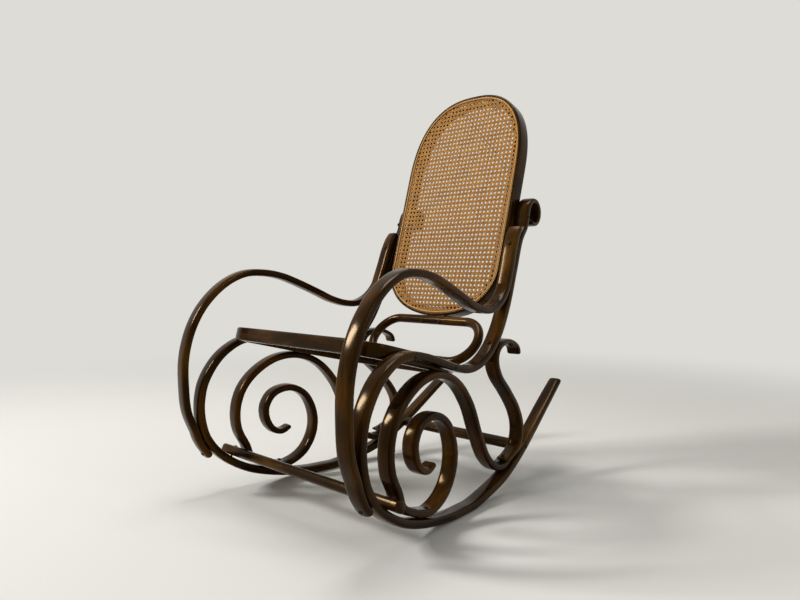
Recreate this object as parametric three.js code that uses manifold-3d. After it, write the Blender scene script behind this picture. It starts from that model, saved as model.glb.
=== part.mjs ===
// Bentwood rocking chair with a caned seat and back, in millimetres.
// Z is up, Y runs from the front of the chair to the back, and X runs to the sitter's left.
import * as THREE from 'three';
import { mergeVertices } from 'three/addons/utils/BufferGeometryUtils.js';
import Module from 'manifold-3d';

const wasm = await Module();
wasm.setup();

// Sizes of one bent side, from the foremost bend of the arm to the tail of the runner
const sideDepth = 910;
const sideHeight = 744;
const halfWidth = 261.4;
const splayAngle = 6.28;
const hookRadius = 31;

// Sections of the bent rods, width across the chair by thickness in the plane of the side
const rodWidth = 36;
const runnerThickness = 20.5;
const armThickness = 18.5;
const scrollThickness = 18.5;
const supportThickness = 18;
const edgeRound = 5;
const armBow = 3;
const scrollInset = 6;
const supportOutset = 3;

// Cross bars that tie the two sides together, one on top of the runners and one between them
const frontBarWidth = 28;
const frontBarThickness = 23;
const frontBarOverhang = 18;
const rearBarWidth = 27;
const rearBarThickness = 20;
const barRound = 7;
const barEndRound = 3;

// Seat frame
const seatDepth = 400;
const seatTilt = 14;
const seatRimHeight = 31.5;
const seatFrontCorner = 77;
const seatRearCorner = 158;

// Back frame, measured from the middle of its caned face
const backTilt = 16.25;
const backFrameDepth = 40;
const backStraightAbove = 81;
const backStraightBelow = 183;
const backArchHeight = 240;
const backFootHeight = 140.5;
const archPowerShare = 2.5;
const footPowerShare = 2.2;

// Caning that both frames share
const frameWidth = 24;
const lipWidth = 7;
const ledgeDrop = 4.5;
const caneThickness = 1.6;
const reedWidth = 5.5;
const reedHeight = 1.6;
const reedCrown = 0.6;
const gapPitch = 50;
const gapOpenShare = 0.55;

// Closed loop between the seat and the foot of the back
const loopRadius = 12;
const loopSideInset = 2.4;
const loopRise = 4;
const loopSetBack = 5;

// Screws, with their length left in the last piece that they hold
const screwRadius = 2.2;
const screwHeadRadius = 5.2;
const screwHeadHeight = 2.8;
const screwBite = 12;
const screwTip = 5;
const loopScrewToSeat = 45;
const loopScrewToBack = 30;
const loopScrewSlant = 50;

// Clearances between pieces that touch, and the fineness of the bends
const rodGap = 0.5;
const fitGap = 0.3;
const bendStep = 46;
const bendTurn = 15;

// The rods' centre lines as shares of the side's depth and height. A third value is
// the share of the rod's thickness there and a fourth one the share of its width.
const seatFrontShares = [-0.161, 0.567];
const backMiddleShares = [0.468, 1.001];
const hookCentreShares = [0.531, 0.949];
const hookStart = -120;
const hookEnd = 150;
const hookPoints = 7;
const hookTipShare = 0.5;
const hookNeckShare = 0.72;

const postShares = [
  [0.482, 0.899, 0.80], [0.451, 0.852, 0.88], [0.418, 0.751, 0.88], [0.378, 0.630, 0.88],
  [0.338, 0.547, 0.88], [0.295, 0.492, 0.88], [0.245, 0.457, 0.88], [0.186, 0.444, 0.88],
  [0.113, 0.462, 0.88], [0.029, 0.495, 0.88], [-0.011, 0.508, 0.88], [-0.056, 0.517, 0.88],
  [-0.103, 0.511, 0.88], [-0.137, 0.493, 0.92], [-0.171, 0.462, 0.96], [-0.199, 0.419],
  [-0.217, 0.375], [-0.225, 0.332], [-0.227, 0.292], [-0.223, 0.249], [-0.212, 0.204],
  [-0.191, 0.163], [-0.162, 0.126], [-0.129, 0.097], [-0.088, 0.070], [-0.042, 0.050],
  [0.006, 0.035], [0.055, 0.025], [0.110, 0.017], [0.164, 0.015], [0.208, 0.015], [0.265, 0.026],
  [0.365, 0.055], [0.453, 0.106], [0.532, 0.167], [0.622, 0.242, 0.88], [0.723, 0.324, 0.80],
];

const armShares = [
  [0.442, 0.902], [0.420, 0.839], [0.392, 0.769], [0.371, 0.698], [0.340, 0.645], [0.294, 0.622],
  [0.251, 0.623], [0.198, 0.640], [0.152, 0.665], [0.109, 0.688], [0.067, 0.709], [0.028, 0.726],
  [-0.022, 0.738], [-0.084, 0.738], [-0.129, 0.719], [-0.172, 0.684], [-0.213, 0.631],
  [-0.239, 0.578], [-0.256, 0.523], [-0.267, 0.456], [-0.268, 0.375], [-0.262, 0.295],
  [-0.248, 0.221], [-0.228, 0.173], [-0.203, 0.134],
];

const scrollShares = [
  [0.042, 0.193, 0.62, 0.85], [0.013, 0.180, 0.80, 0.95], [-0.014, 0.192, 0.95], [-0.034, 0.227],
  [-0.037, 0.274], [-0.012, 0.318], [0.043, 0.331], [0.094, 0.297], [0.123, 0.219],
  [0.117, 0.148], [0.081, 0.088], [0.016, 0.061], [-0.043, 0.081], [-0.084, 0.110],
  [-0.098, 0.152], [-0.122, 0.212], [-0.126, 0.278], [-0.109, 0.344], [-0.070, 0.398],
  [-0.004, 0.440], [0.067, 0.445], [0.139, 0.410], [0.199, 0.333], [0.242, 0.230], [0.284, 0.144],
  [0.335, 0.097], [0.385, 0.089], [0.418, 0.100, 0.66], [0.458, 0.128, 0.32],
];

const supportShares = [
  [0.438, 0.460, 0.62], [0.430, 0.485, 0.62], [0.389, 0.509, 0.68], [0.349, 0.507, 0.80],
  [0.319, 0.486, 0.92], [0.312, 0.449], [0.330, 0.401], [0.379, 0.343], [0.431, 0.272],
  [0.453, 0.214], [0.449, 0.164], [0.429, 0.130, 0.80], [0.400, 0.113, 0.60],
  [0.371, 0.109, 0.50],
];

// Rows of the post and runner between which it is straight, where the chair stands at rest
const standingRows = [29, 30];
const standingShare = 0.186;

// Rows of those lists where a rod is clamped against the rods built before it
const armTouches = [0, 1, 2, 3, 22, 23, 24];
const scrollTouches = [11, 26, 27, 28];
const supportTouches = [4, 12, 13];

// Places of the cross bars and screws, as shares of the side's depth and height
const frontBarShares = [-0.143, 0.107];
const rearBarShares = [0.482, 0.130];
const armTopScrewShares = [0.417, 0.835];
const armFootScrewShares = [-0.212, 0.150];
const scrollBaseScrewShares = [0.011, 0.061];
const supportFootScrewShares = [0.385, 0.111];
const supportTopScrewShares = [0.304, 0.507];
const seatFrontScrewShares = [-0.050, 0.513];
const seatRearScrewShares = [0.113, 0.459];
const backScrewShares = [0.487, 0.933];

const beech = new THREE.MeshStandardMaterial({ color: 0x4b2a12, roughness: 0.28, metalness: 0 });
const seatBeech = new THREE.MeshStandardMaterial({ color: 0x432511, roughness: 0.3, metalness: 0 });
const cane = new THREE.MeshStandardMaterial({ color: 0xc08b48, roughness: 0.55, metalness: 0 });
const reed = new THREE.MeshStandardMaterial({ color: 0xb57f38, roughness: 0.5, metalness: 0 });
const bronze = new THREE.MeshStandardMaterial({ color: 0x5d4a30, roughness: 0.4, metalness: 0.9 });

const { degToRad, lerp, clamp } = THREE.MathUtils;

// A place in the splayed plane of a side, and the same place seen square to the chair
const splay = degToRad(splayAngle);

function atShares([y, z]) {
  return new THREE.Vector2(y * sideDepth, z * sideHeight);
}

function squareOn(place) {
  return new THREE.Vector2(place.x * Math.cos(splay), place.y);
}

// Half the clear width between the rails at a depth, measured to their inner faces
function halfClear(y) {
  return halfWidth - Math.tan(splay) * y - rodWidth / 2 / Math.cos(splay);
}

function volumeOf(points, triangles) {
  let volume = 0;
  for (const [a, b, c] of triangles) {
    volume += points[a].dot(new THREE.Vector3().crossVectors(points[b], points[c])) / 6;
  }
  return volume;
}

// One closed body from shared points, turned so that its faces point out
function bodyOf(points, triangles) {
  const flipped = volumeOf(points, triangles) < 0;
  const geometry = new THREE.BufferGeometry().setFromPoints(points);
  geometry.setIndex(triangles.flatMap(([a, b, c]) => (flipped ? [a, c, b] : [a, b, c])));
  return geometry;
}

// Joins rings of equally many points into a tube, closed on itself or capped at its ends
function loft(rings, closed = false) {
  const size = rings[0].length;
  const triangles = [];
  const last = closed ? rings.length : rings.length - 1;
  for (let i = 0; i < last; i += 1) {
    const near = i * size;
    const far = ((i + 1) % rings.length) * size;
    for (let k = 0; k < size; k += 1) {
      const next = (k + 1) % size;
      triangles.push([near + k, near + next, far + next], [near + k, far + next, far + k]);
    }
  }
  if (!closed) {
    const end = (rings.length - 1) * size;
    for (let k = 1; k < size - 1; k += 1) {
      triangles.push([0, k + 1, k], [end, end + k, end + k + 1]);
    }
  }
  return bodyOf(rings.flat(), triangles);
}

// Eight corners of a bar's section, a rectangle with its edges taken off
function barSection(halfWidth, halfThickness, round) {
  const cut = Math.min(round, halfWidth * 0.6, halfThickness * 0.6);
  const w = halfWidth;
  const t = halfThickness;
  return [
    [w, t - cut], [w - cut, t], [cut - w, t], [-w, t - cut],
    [-w, cut - t], [cut - w, -t], [w - cut, -t], [w, cut - t],
  ];
}

// The closest place on a rod's centre line, counted to the rod's face
function nearest(path, point) {
  let best = null;
  for (let i = 1; i < path.length; i += 1) {
    const along = path[i].place.clone().sub(path[i - 1].place);
    const reach = point.clone().sub(path[i - 1].place).dot(along) / along.lengthSq();
    const share = clamp(reach, 0, 1);
    const place = path[i - 1].place.clone().addScaledVector(along, share);
    const half = lerp(path[i - 1].half, path[i].half, share);
    const gap = point.distanceTo(place) - half;
    if (best === null || gap < best.gap) {
      best = { place, half, gap, along: along.normalize(), index: i };
    }
  }
  return best;
}

// Moves a point until a rod of that half thickness lies against the closest host
function restOn(point, half, hosts) {
  const found = hosts.map((host) => nearest(host, point)).sort((a, b) => a.gap - b.gap)[0];
  const away = point.clone().sub(found.place).normalize();
  return found.place.clone().addScaledVector(away, found.half + half + rodGap);
}

// Lifts a point off every host that it would cut into
function clearOf(point, half, hosts) {
  let moved = point;
  for (const host of hosts) {
    if (nearest(host, moved).gap < half + rodGap) {
      moved = restOn(moved, half, [host]);
    }
  }
  return moved;
}

// Lifts whole stretches off a host whose corners reach in between two stations
const easePasses = 4;

function easeOff(path, hosts) {
  for (let pass = 0; pass < easePasses; pass += 1) {
    for (const corner of hosts.flat()) {
      const { place, gap, index } = nearest(path, corner.place);
      const short = corner.half + rodGap - gap;
      if (short > 0) {
        const away = place.clone().sub(corner.place).normalize();
        path[index - 1].place.addScaledVector(away, short);
        path[index].place.addScaledVector(away, short);
      }
    }
  }
  return path;
}

// Stations along a bent rod: its place, half thickness and half width
function bend({ rows, thickness, width = rodWidth, steady = [], touches = [], hosts = [] }) {
  const halves = rows.map((row) => (thickness * (row.thicknessShare ?? 1)) / 2);
  const widths = rows.map((row) => (width * (row.widthShare ?? 1)) / 2);
  const knots = rows.map((row, i) => (
    touches.includes(i) ? restOn(row.place, halves[i], hosts) : row.place
  ));
  const curve = new THREE.CatmullRomCurve3(
    knots.map((knot) => new THREE.Vector3(0, knot.x, knot.y)), false, 'centripetal',
  );
  const looksPerRow = 12;
  const looks = (rows.length - 1) * looksPerRow;
  const stations = [];
  let turn = 0;
  let run = 0;
  let heading = null;
  let before = null;
  for (let i = 0; i <= looks; i += 1) {
    const spot = curve.getPoint(i / looks);
    const place = new THREE.Vector2(spot.y, spot.z);
    if (before !== null) {
      const step = place.clone().sub(before);
      run += step.length();
      turn += heading === null ? 0 : Math.abs(Math.asin(heading.cross(step) / step.length()));
      heading = step.normalize();
    }
    before = place;
    const fixed = i === 0 || i === looks || steady.includes(i / looksPerRow);
    if (fixed || run > bendStep || turn > degToRad(bendTurn)) {
      const row = Math.min(Math.floor(i / looksPerRow), rows.length - 2);
      const share = i / looksPerRow - row;
      const half = lerp(halves[row], halves[row + 1], share);
      const wide = lerp(widths[row], widths[row + 1], share);
      stations.push({ place: clearOf(place, half, hosts), half, wide, reach: i / looks });
      run = 0;
      turn = 0;
    }
  }
  return easeOff(stations, hosts);
}

function rowsOf(shares) {
  return shares.map((row) => ({
    place: atShares(row), thicknessShare: row[2], widthShare: row[3],
  }));
}

// Sweeps a rod's section along its stations, each ring set square to the bend
function rodBody(path, bow = 0) {
  const rings = path.map((station, i) => {
    const into = path[Math.max(i, 1)].place.clone().sub(path[Math.max(i, 1) - 1].place);
    const after = Math.min(i, path.length - 2);
    const out = path[after + 1].place.clone().sub(path[after].place);
    into.normalize();
    out.normalize();
    const along = into.clone().add(out).normalize();
    const stretch = 1 / along.dot(out);
    const side = bow * Math.sin(Math.PI * station.reach);
    return barSection(station.wide, station.half, edgeRound).map(([across, through]) => (
      new THREE.Vector3(
        side + across,
        station.place.x - along.y * through * stretch,
        station.place.y + along.x * through * stretch,
      )
    ));
  });
  return loft(rings);
}

// Where a bar lies in the crook of the post and runner rod, with the rod's slope there. It
// lies square to the chair, and a splayed rod comes nearer to it at one edge by the twist.
const liftPasses = 3;
const twist = (rodWidth / 2 + scrollInset) * Math.sin(splay);

function barOnRunner(shares) {
  const spot = nearest(runnerPath, atShares(shares));
  const up = new THREE.Vector2(-spot.along.y, spot.along.x);
  const place = spot.place.clone().addScaledVector(up, spot.half + frontBarThickness / 2);
  const corners = barSection(frontBarWidth / 2, frontBarThickness / 2, barRound);
  for (let pass = 0; pass < liftPasses; pass += 1) {
    const gaps = corners.map(([x, y]) => {
      const corner = place.clone().addScaledVector(spot.along, x).addScaledVector(up, y);
      return nearest(runnerPath, corner).gap;
    });
    place.addScaledVector(up, fitGap - Math.min(...gaps));
  }
  place.addScaledVector(up, twist * Math.abs(up.x));
  return { place, up, along: spot.along };
}

// The front bar seen as a short thick host, which other rods keep clear of
function barAsHost({ place, along }) {
  const reach = (frontBarWidth - frontBarThickness) / 2;
  const half = frontBarThickness / 2 + (frontBarThickness / 2 - barRound) / 4 + twist;
  return [-1, 1].map((end) => ({
    place: place.clone().addScaledVector(along, end * reach), half,
  }));
}

const hookRows = Array.from({ length: hookPoints }, (_, i) => {
  const reach = i / (hookPoints - 1);
  const angle = degToRad(lerp(hookStart, hookEnd, reach));
  const out = new THREE.Vector2(Math.cos(angle), Math.sin(angle)).multiplyScalar(hookRadius);
  return {
    place: atShares(hookCentreShares).add(out),
    thicknessShare: lerp(hookTipShare, hookNeckShare, reach),
  };
});

const runnerPath = bend({
  rows: [...hookRows, ...rowsOf(postShares)],
  thickness: runnerThickness,
  steady: standingRows.map((row) => hookPoints + row),
});
const frontBar = barOnRunner(frontBarShares);
const rearBar = nearest(runnerPath, atShares(rearBarShares));
const frontBarHost = barAsHost(frontBar);
const armPath = bend({
  rows: rowsOf(armShares), thickness: armThickness, touches: armTouches, hosts: [runnerPath],
});
const scrollPath = bend({
  rows: rowsOf(scrollShares),
  thickness: scrollThickness,
  touches: scrollTouches,
  hosts: [runnerPath, frontBarHost],
});
const supportPath = bend({
  rows: rowsOf(supportShares),
  thickness: supportThickness,
  touches: supportTouches,
  hosts: [runnerPath, scrollPath],
});

function piece(name, geometry, material) {
  const mesh = new THREE.Mesh(geometry, material);
  mesh.name = name;
  return mesh;
}

// Drops the doubled corners of a three.js shape, so that it is one closed body
function welded(geometry) {
  const bare = geometry.clone();
  bare.deleteAttribute('normal');
  bare.deleteAttribute('uv');
  const merged = mergeVertices(bare);
  const place = merged.getAttribute('position');
  const points = Array.from({ length: place.count }, (_, i) => (
    new THREE.Vector3().fromBufferAttribute(place, i)
  ));
  const triangles = [];
  for (let i = 0; i < merged.index.count; i += 3) {
    const [a, b, c] = merged.index.array.slice(i, i + 3);
    if (a !== b && b !== c && c !== a) {
      triangles.push([a, b, c]);
    }
  }
  return bodyOf(points, triangles);
}

// Points round a closed outline moved inwards by an inset, corners kept sharp
function insetOutline(outline, inset) {
  return outline.map((point, i) => {
    const before = outline[(i + outline.length - 1) % outline.length];
    const after = outline[(i + 1) % outline.length];
    const into = point.clone().sub(before).normalize();
    const out = after.clone().sub(point).normalize();
    const along = into.clone().add(out).normalize();
    const stretch = inset / along.dot(out);
    return new THREE.Vector2(point.x - along.y * stretch, point.y + along.x * stretch);
  });
}

// Sweeps a section of insets and heights round a closed outline
function frameBody(outline, section) {
  const rails = section.map(([inset]) => insetOutline(outline, inset));
  const rings = outline.map((_, i) => section.map(([, height], k) => (
    new THREE.Vector3(rails[k][i].x, rails[k][i].y, height)
  )));
  return loft(rings, true);
}

// How far inside a closed outline a point lies, less than nothing outside it
function depthInside(outline, point) {
  const ends = outline.map((corner) => ({ place: corner, half: 0 }));
  const { place, along, gap } = nearest([...ends, ends[0]], point);
  return Math.sign(along.cross(point.clone().sub(place))) * gap;
}

// A flat caned sheet with eight-sided gaps on a square grid
function caneSheet(outline) {
  const sheet = new THREE.Shape(insetOutline(outline, lipWidth + fitGap));
  const box = new THREE.Box2().setFromPoints(outline);
  const middle = box.getCenter(new THREE.Vector2());
  const size = box.getSize(new THREE.Vector2());
  const openRadius = (gapPitch * gapOpenShare) / 2 / Math.cos(Math.PI / 8);
  const columns = Math.floor(size.x / gapPitch / 2);
  const lines = Math.floor(size.y / gapPitch / 2);
  for (let column = -columns; column <= columns; column += 1) {
    for (let line = -lines; line <= lines; line += 1) {
      const place = new THREE.Vector2(column, line).multiplyScalar(gapPitch).add(middle);
      if (depthInside(outline, place) > frameWidth + openRadius) {
        sheet.holes.push(new THREE.Path(Array.from({ length: 8 }, (_, i) => {
          const angle = (2 * i - 1) * (Math.PI / 8);
          const out = new THREE.Vector2(Math.cos(angle), Math.sin(angle));
          return out.multiplyScalar(openRadius).add(place);
        })));
      }
    }
  }
  const body = new THREE.ExtrudeGeometry(sheet, { depth: caneThickness, bevelEnabled: false });
  body.translate(0, 0, fitGap - ledgeDrop);
  return welded(body);
}

// A bent frame with its caned sheet and the reed that wedges the sheet in its groove
function canedFrame(outline, depth) {
  const inner = frameWidth;
  const frame = frameBody(outline, [
    [edgeRound, 0], [lipWidth, 0], [lipWidth, -ledgeDrop], [inner, -ledgeDrop],
    [inner, edgeRound - depth], [inner - edgeRound, -depth], [edgeRound, -depth],
    [0, edgeRound - depth], [0, -edgeRound],
  ]);
  const foot = caneThickness + 2 * fitGap - ledgeDrop;
  const near = lipWidth + fitGap;
  const far = lipWidth + reedWidth;
  const crown = foot + reedHeight + reedCrown;
  const wedge = frameBody(outline, [
    [near, foot], [far, foot], [far, foot + reedHeight], [(near + far) / 2, crown],
    [near, foot + reedHeight],
  ]);
  return { frame, sheet: caneSheet(outline), wedge };
}

function arcPoints(centre, radius, start, end, steps) {
  return Array.from({ length: steps + 1 }, (_, i) => {
    const angle = degToRad(lerp(start, end, i / steps));
    return new THREE.Vector2(Math.cos(angle), Math.sin(angle)).multiplyScalar(radius).add(centre);
  });
}

// Seat outline before it follows the splay of the rails, front edge at zero
const cornerSteps = 7;
const seatSlope = degToRad(seatTilt);
const seatFront = squareOn(atShares(seatFrontShares));
const seatHalf = halfClear(seatFront.x) - fitGap;

function seatOutline() {
  const front = seatFrontCorner;
  const rear = seatRearCorner;
  const corner = (x, y) => new THREE.Vector2(x, y);
  return [
    ...arcPoints(corner(front - seatHalf, front), front, 180, 270, cornerSteps),
    ...arcPoints(corner(seatHalf - front, front), front, 270, 360, cornerSteps),
    ...arcPoints(corner(seatHalf - rear, seatDepth - rear), rear, 0, 90, cornerSteps),
    ...arcPoints(corner(rear - seatHalf, seatDepth - rear), rear, 90, 180, cornerSteps),
  ];
}

// Narrows a piece towards the back, so that its sides or ends follow the rails' inner faces
function followRails(geometry, depth, tilt, half) {
  const place = geometry.getAttribute('position');
  for (let i = 0; i < place.count; i += 1) {
    const y = depth + place.getY(i) * Math.cos(tilt) - place.getZ(i) * Math.sin(tilt);
    place.setX(i, (place.getX(i) * (halfClear(y) - fitGap)) / half);
  }
}

// Back outline: straight sides, a tall arch above and a flatter one below
const archSteps = 9;
const backSlope = degToRad(backTilt);
const backMiddle = squareOn(atShares(backMiddleShares));
const hookHeight = atShares(hookCentreShares).y;
const backRearY = backMiddle.x + (hookHeight - backMiddle.y) * Math.tan(backSlope)
  + backFrameDepth / Math.cos(backSlope);
const backHalf = halfClear(backRearY) - fitGap;

function archPoints(height, power, steps) {
  return Array.from({ length: steps + 1 }, (_, i) => {
    const angle = (Math.PI * i) / steps;
    const across = Math.sign(Math.cos(angle)) * Math.abs(Math.cos(angle)) ** (2 / power);
    return new THREE.Vector2(across * backHalf, Math.sin(angle) ** (2 / power) * height);
  });
}

function backOutline() {
  const above = archPoints(backArchHeight, archPowerShare, 2 * archSteps);
  const below = archPoints(backFootHeight, footPowerShare, 2 * archSteps);
  return [
    ...above.map((point) => new THREE.Vector2(point.x, backStraightAbove + point.y)),
    ...below.map((point) => new THREE.Vector2(-point.x, -backStraightBelow - point.y)),
  ];
}

// The ends of the two bars of the loop, found from the seat's rear edge and the back's foot
const seatRearward = new THREE.Vector2(Math.cos(seatSlope), -Math.sin(seatSlope));
const seatRear = seatFront.clone().addScaledVector(seatRearward, seatDepth);
const seatUp = new THREE.Vector2(Math.sin(seatSlope), Math.cos(seatSlope));
const backUp = new THREE.Vector2(Math.sin(backSlope), Math.cos(backSlope));
const backRearward = new THREE.Vector2(Math.cos(backSlope), -Math.sin(backSlope));
const backFoot = backMiddle.clone()
  .addScaledVector(backUp, -backStraightBelow - backFootHeight);
const loopReach = Math.sqrt((loopRadius + fitGap) ** 2 - (loopRise + edgeRound) ** 2);
const lowBar = seatRear.clone()
  .addScaledVector(seatRearward, loopReach)
  .addScaledVector(seatUp, loopRise);
const highBar = backFoot.clone()
  .addScaledVector(backUp, -loopRadius - fitGap)
  .addScaledVector(backRearward, loopSetBack);

const loopSides = 8;

function loopBody() {
  const rise = highBar.distanceTo(lowBar) / 2;
  const straight = backHalf - loopSideInset - loopRadius - rise;
  const centreLine = [
    ...arcPoints(new THREE.Vector2(straight, 0), rise, -90, 90, 2 * cornerSteps),
    ...arcPoints(new THREE.Vector2(-straight, 0), rise, 90, 270, 2 * cornerSteps),
  ];
  const round = arcPoints(new THREE.Vector2(0, 0), loopRadius, 0, 360, loopSides);
  round.pop();
  return frameBody(centreLine, round.map((point) => [point.x, point.y]));
}

// A bar across the chair, its width set along the slope of the runners
function crossBar(name, bar, width, thickness, halfLength) {
  const place = squareOn(bar.place);
  const along = squareOn(bar.along);
  const cornerLoss = barEndRound * (2 - Math.SQRT2);
  const shape = new THREE.Shape(
    barSection(width / 2 - barEndRound, thickness / 2 - barEndRound, barRound - cornerLoss)
      .map(([x, y]) => new THREE.Vector2(x, y)),
  );
  const body = new THREE.ExtrudeGeometry(shape, {
    depth: 2 * (halfLength - barEndRound),
    bevelThickness: barEndRound,
    bevelSize: barEndRound,
    bevelSegments: 1,
  });
  body.translate(0, 0, barEndRound - halfLength);
  body.rotateY(Math.PI / 2);
  const mesh = piece(name, welded(body), beech);
  mesh.rotation.x = -Math.atan2(along.x, along.y);
  mesh.position.set(0, place.x, place.y);
  return mesh;
}

// A round-headed wood screw, or the hole that it needs when it is grown by a clearance
function screwBody(length, grown = 0) {
  const shank = screwRadius + grown;
  const head = screwHeadRadius + grown;
  const top = screwHeadHeight + grown;
  const under = fitGap - grown;
  const profile = [
    [0, -length - grown], [shank, screwTip - length], [shank, under], [head, under],
    [head * 0.8, top * 0.75], [0, top],
  ].map(([x, y]) => new THREE.Vector2(x, y));
  return welded(new THREE.LatheGeometry(profile, 8));
}

// Screws wait in this list until every piece that they pass through is in place
const drillings = [];

function screw(name, head, direction, length, targets) {
  const mesh = piece(name, screwBody(length), bronze);
  mesh.position.copy(head);
  mesh.quaternion.setFromUnitVectors(new THREE.Vector3(0, 1, 0), direction.clone().negate());
  drillings.push({ mesh, length, targets });
  return mesh;
}

// A screw in the plane of a side, from the far face of one rod into the rod that it lies on
function rodScrew(name, shares, through, host, targets) {
  const start = nearest(through, atShares(shares));
  const end = nearest(host, start.place);
  const way = end.place.clone().sub(start.place);
  const length = way.length() - end.half + start.half + screwBite;
  way.normalize();
  const head = start.place.clone().addScaledVector(way, -start.half);
  return screw(
    name, new THREE.Vector3(0, head.x, head.y), new THREE.Vector3(0, way.x, way.y), length, targets,
  );
}

// A screw across the chair, from the outer face of a rod into a frame or a bar
function sideScrew(name, shares, inset, targets) {
  const place = atShares(shares);
  const head = new THREE.Vector3(rodWidth / 2, place.x, place.y);
  return screw(name, head, new THREE.Vector3(-1, 0, 0), rodWidth + inset + screwBite, targets);
}

// A screw from the top of a cross bar into the runner below it
function barScrew(name, bar, targets) {
  const head = bar.place.clone().addScaledVector(bar.up, frontBarThickness / 2);
  return screw(
    name, new THREE.Vector3(0, head.x, head.y), new THREE.Vector3(0, -bar.up.x, -bar.up.y),
    frontBarThickness + screwBite, targets,
  );
}

function side(hand, middle) {
  const group = new THREE.Group();
  const runner = piece(`runner_post_${hand}`, rodBody(runnerPath), beech);
  const arm = piece(`arm_${hand}`, rodBody(armPath, armBow), beech);
  const scroll = piece(`scroll_${hand}`, rodBody(scrollPath), beech);
  const support = piece(`rear_support_${hand}`, rodBody(supportPath), beech);
  scroll.position.x = -scrollInset;
  support.position.x = supportOutset;
  const { seatRim, backFrame, frontStretcher, rearStretcher } = middle;
  group.add(
    runner, arm, scroll, support,
    rodScrew(`screw_arm_top_${hand}`, armTopScrewShares, armPath, runnerPath, [arm, runner]),
    rodScrew(`screw_arm_foot_${hand}`, armFootScrewShares, armPath, runnerPath, [arm, runner]),
    rodScrew(
      `screw_scroll_base_${hand}`, scrollBaseScrewShares, scrollPath, runnerPath, [scroll, runner],
    ),
    rodScrew(
      `screw_support_foot_${hand}`, supportFootScrewShares, supportPath, runnerPath,
      [support, scroll, runner],
    ),
    rodScrew(
      `screw_support_top_${hand}`, supportTopScrewShares, runnerPath, supportPath,
      [runner, support],
    ),
    barScrew(`screw_front_stretcher_${hand}`, frontBar, [frontStretcher, runner]),
    sideScrew(`screw_rear_stretcher_${hand}`, rearBarShares, fitGap, [runner, rearStretcher]),
    sideScrew(`screw_seat_front_${hand}`, seatFrontScrewShares, fitGap, [runner, seatRim]),
    sideScrew(`screw_seat_rear_${hand}`, seatRearScrewShares, fitGap, [runner, seatRim]),
    sideScrew(`screw_back_${hand}`, backScrewShares, fitGap, [runner, backFrame]),
  );
  group.rotation.z = splay;
  group.position.x = halfWidth;
  return group;
}

function caned(prefix, rimName, parts, material) {
  const group = new THREE.Group();
  const rim = piece(rimName, parts.frame, material);
  group.add(
    rim, piece(`${prefix}_cane`, parts.sheet, cane), piece(`${prefix}_spline`, parts.wedge, reed),
  );
  return { group, rim };
}

const chair = new THREE.Group();
const frontBarHalf = halfClear(squareOn(frontBar.place).x) + rodWidth + frontBarOverhang;
const frontStretcher = crossBar(
  'front_stretcher', frontBar, frontBarWidth, frontBarThickness, frontBarHalf,
);
const rearBarDepth = squareOn(rearBar.place).x;
const rearBarHalf = halfClear(rearBarDepth) - fitGap;
const rearStretcher = crossBar(
  'rear_stretcher', rearBar, rearBarWidth, rearBarThickness, rearBarHalf,
);
followRails(rearStretcher.geometry, rearBarDepth, rearStretcher.rotation.x, rearBarHalf);

const seatParts = canedFrame(seatOutline(), seatRimHeight);
for (const geometry of Object.values(seatParts)) {
  followRails(geometry, seatFront.x, -seatSlope, seatHalf);
}
const seat = caned('seat', 'seat_rim', seatParts, seatBeech);
seat.group.rotation.x = -seatSlope;
seat.group.position.set(0, seatFront.x, seatFront.y);

const back = caned('back', 'back_frame', canedFrame(backOutline(), backFrameDepth), beech);
back.group.rotation.x = Math.PI / 2 - backSlope;
back.group.position.set(0, backMiddle.x, backMiddle.y);

const loop = piece('back_loop', loopBody(), beech);
loop.rotation.x = highBar.clone().sub(lowBar).angle();
loop.position.set(0, (lowBar.x + highBar.x) / 2, (lowBar.y + highBar.y) / 2);

const middle = { seatRim: seat.rim, backFrame: back.rim, frontStretcher, rearStretcher };
chair.add(frontStretcher, rearStretcher, seat.group, back.group, loop);
const mirror = new THREE.Group();
mirror.scale.x = -1;
mirror.add(side('right', middle));
chair.add(side('left', middle), mirror);

function loopScrew(name, x, bar, way, target) {
  const head = bar.clone().addScaledVector(way, -loopRadius);
  return screw(
    name, new THREE.Vector3(x, head.x, head.y), new THREE.Vector3(0, way.x, way.y),
    2 * loopRadius + screwBite, [loop, target],
  );
}

// Both pairs slant away from the caned faces, into the thick of the frames
const slant = degToRad(loopScrewSlant);
const toSeat = seatRearward.clone().multiplyScalar(-Math.cos(slant))
  .addScaledVector(seatUp, -Math.sin(slant));
const toBack = backUp.clone().multiplyScalar(Math.cos(slant))
  .addScaledVector(backRearward, Math.sin(slant));

for (const [hand, sign] of [['left', 1], ['right', -1]]) {
  chair.add(
    loopScrew(`screw_loop_seat_${hand}`, sign * loopScrewToSeat, lowBar, toSeat, seat.rim),
    loopScrew(`screw_loop_back_${hand}`, sign * loopScrewToBack, highBar, toBack, back.rim),
  );
}

function solidOf(geometry, flipped = false) {
  const place = geometry.getAttribute('position');
  const triVerts = Uint32Array.from(geometry.index.array);
  if (flipped) {
    for (let i = 0; i < triVerts.length; i += 3) {
      [triVerts[i + 1], triVerts[i + 2]] = [triVerts[i + 2], triVerts[i + 1]];
    }
  }
  const vertProperties = Float32Array.from(place.array);
  return new wasm.Manifold(new wasm.Mesh({ numProp: 3, vertProperties, triVerts }));
}

function geometryOf(solid) {
  const { vertProperties, triVerts } = solid.getMesh();
  const geometry = new THREE.BufferGeometry();
  geometry.setAttribute('position', new THREE.BufferAttribute(vertProperties, 3));
  geometry.setIndex(new THREE.BufferAttribute(triVerts, 1));
  return geometry;
}

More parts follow.
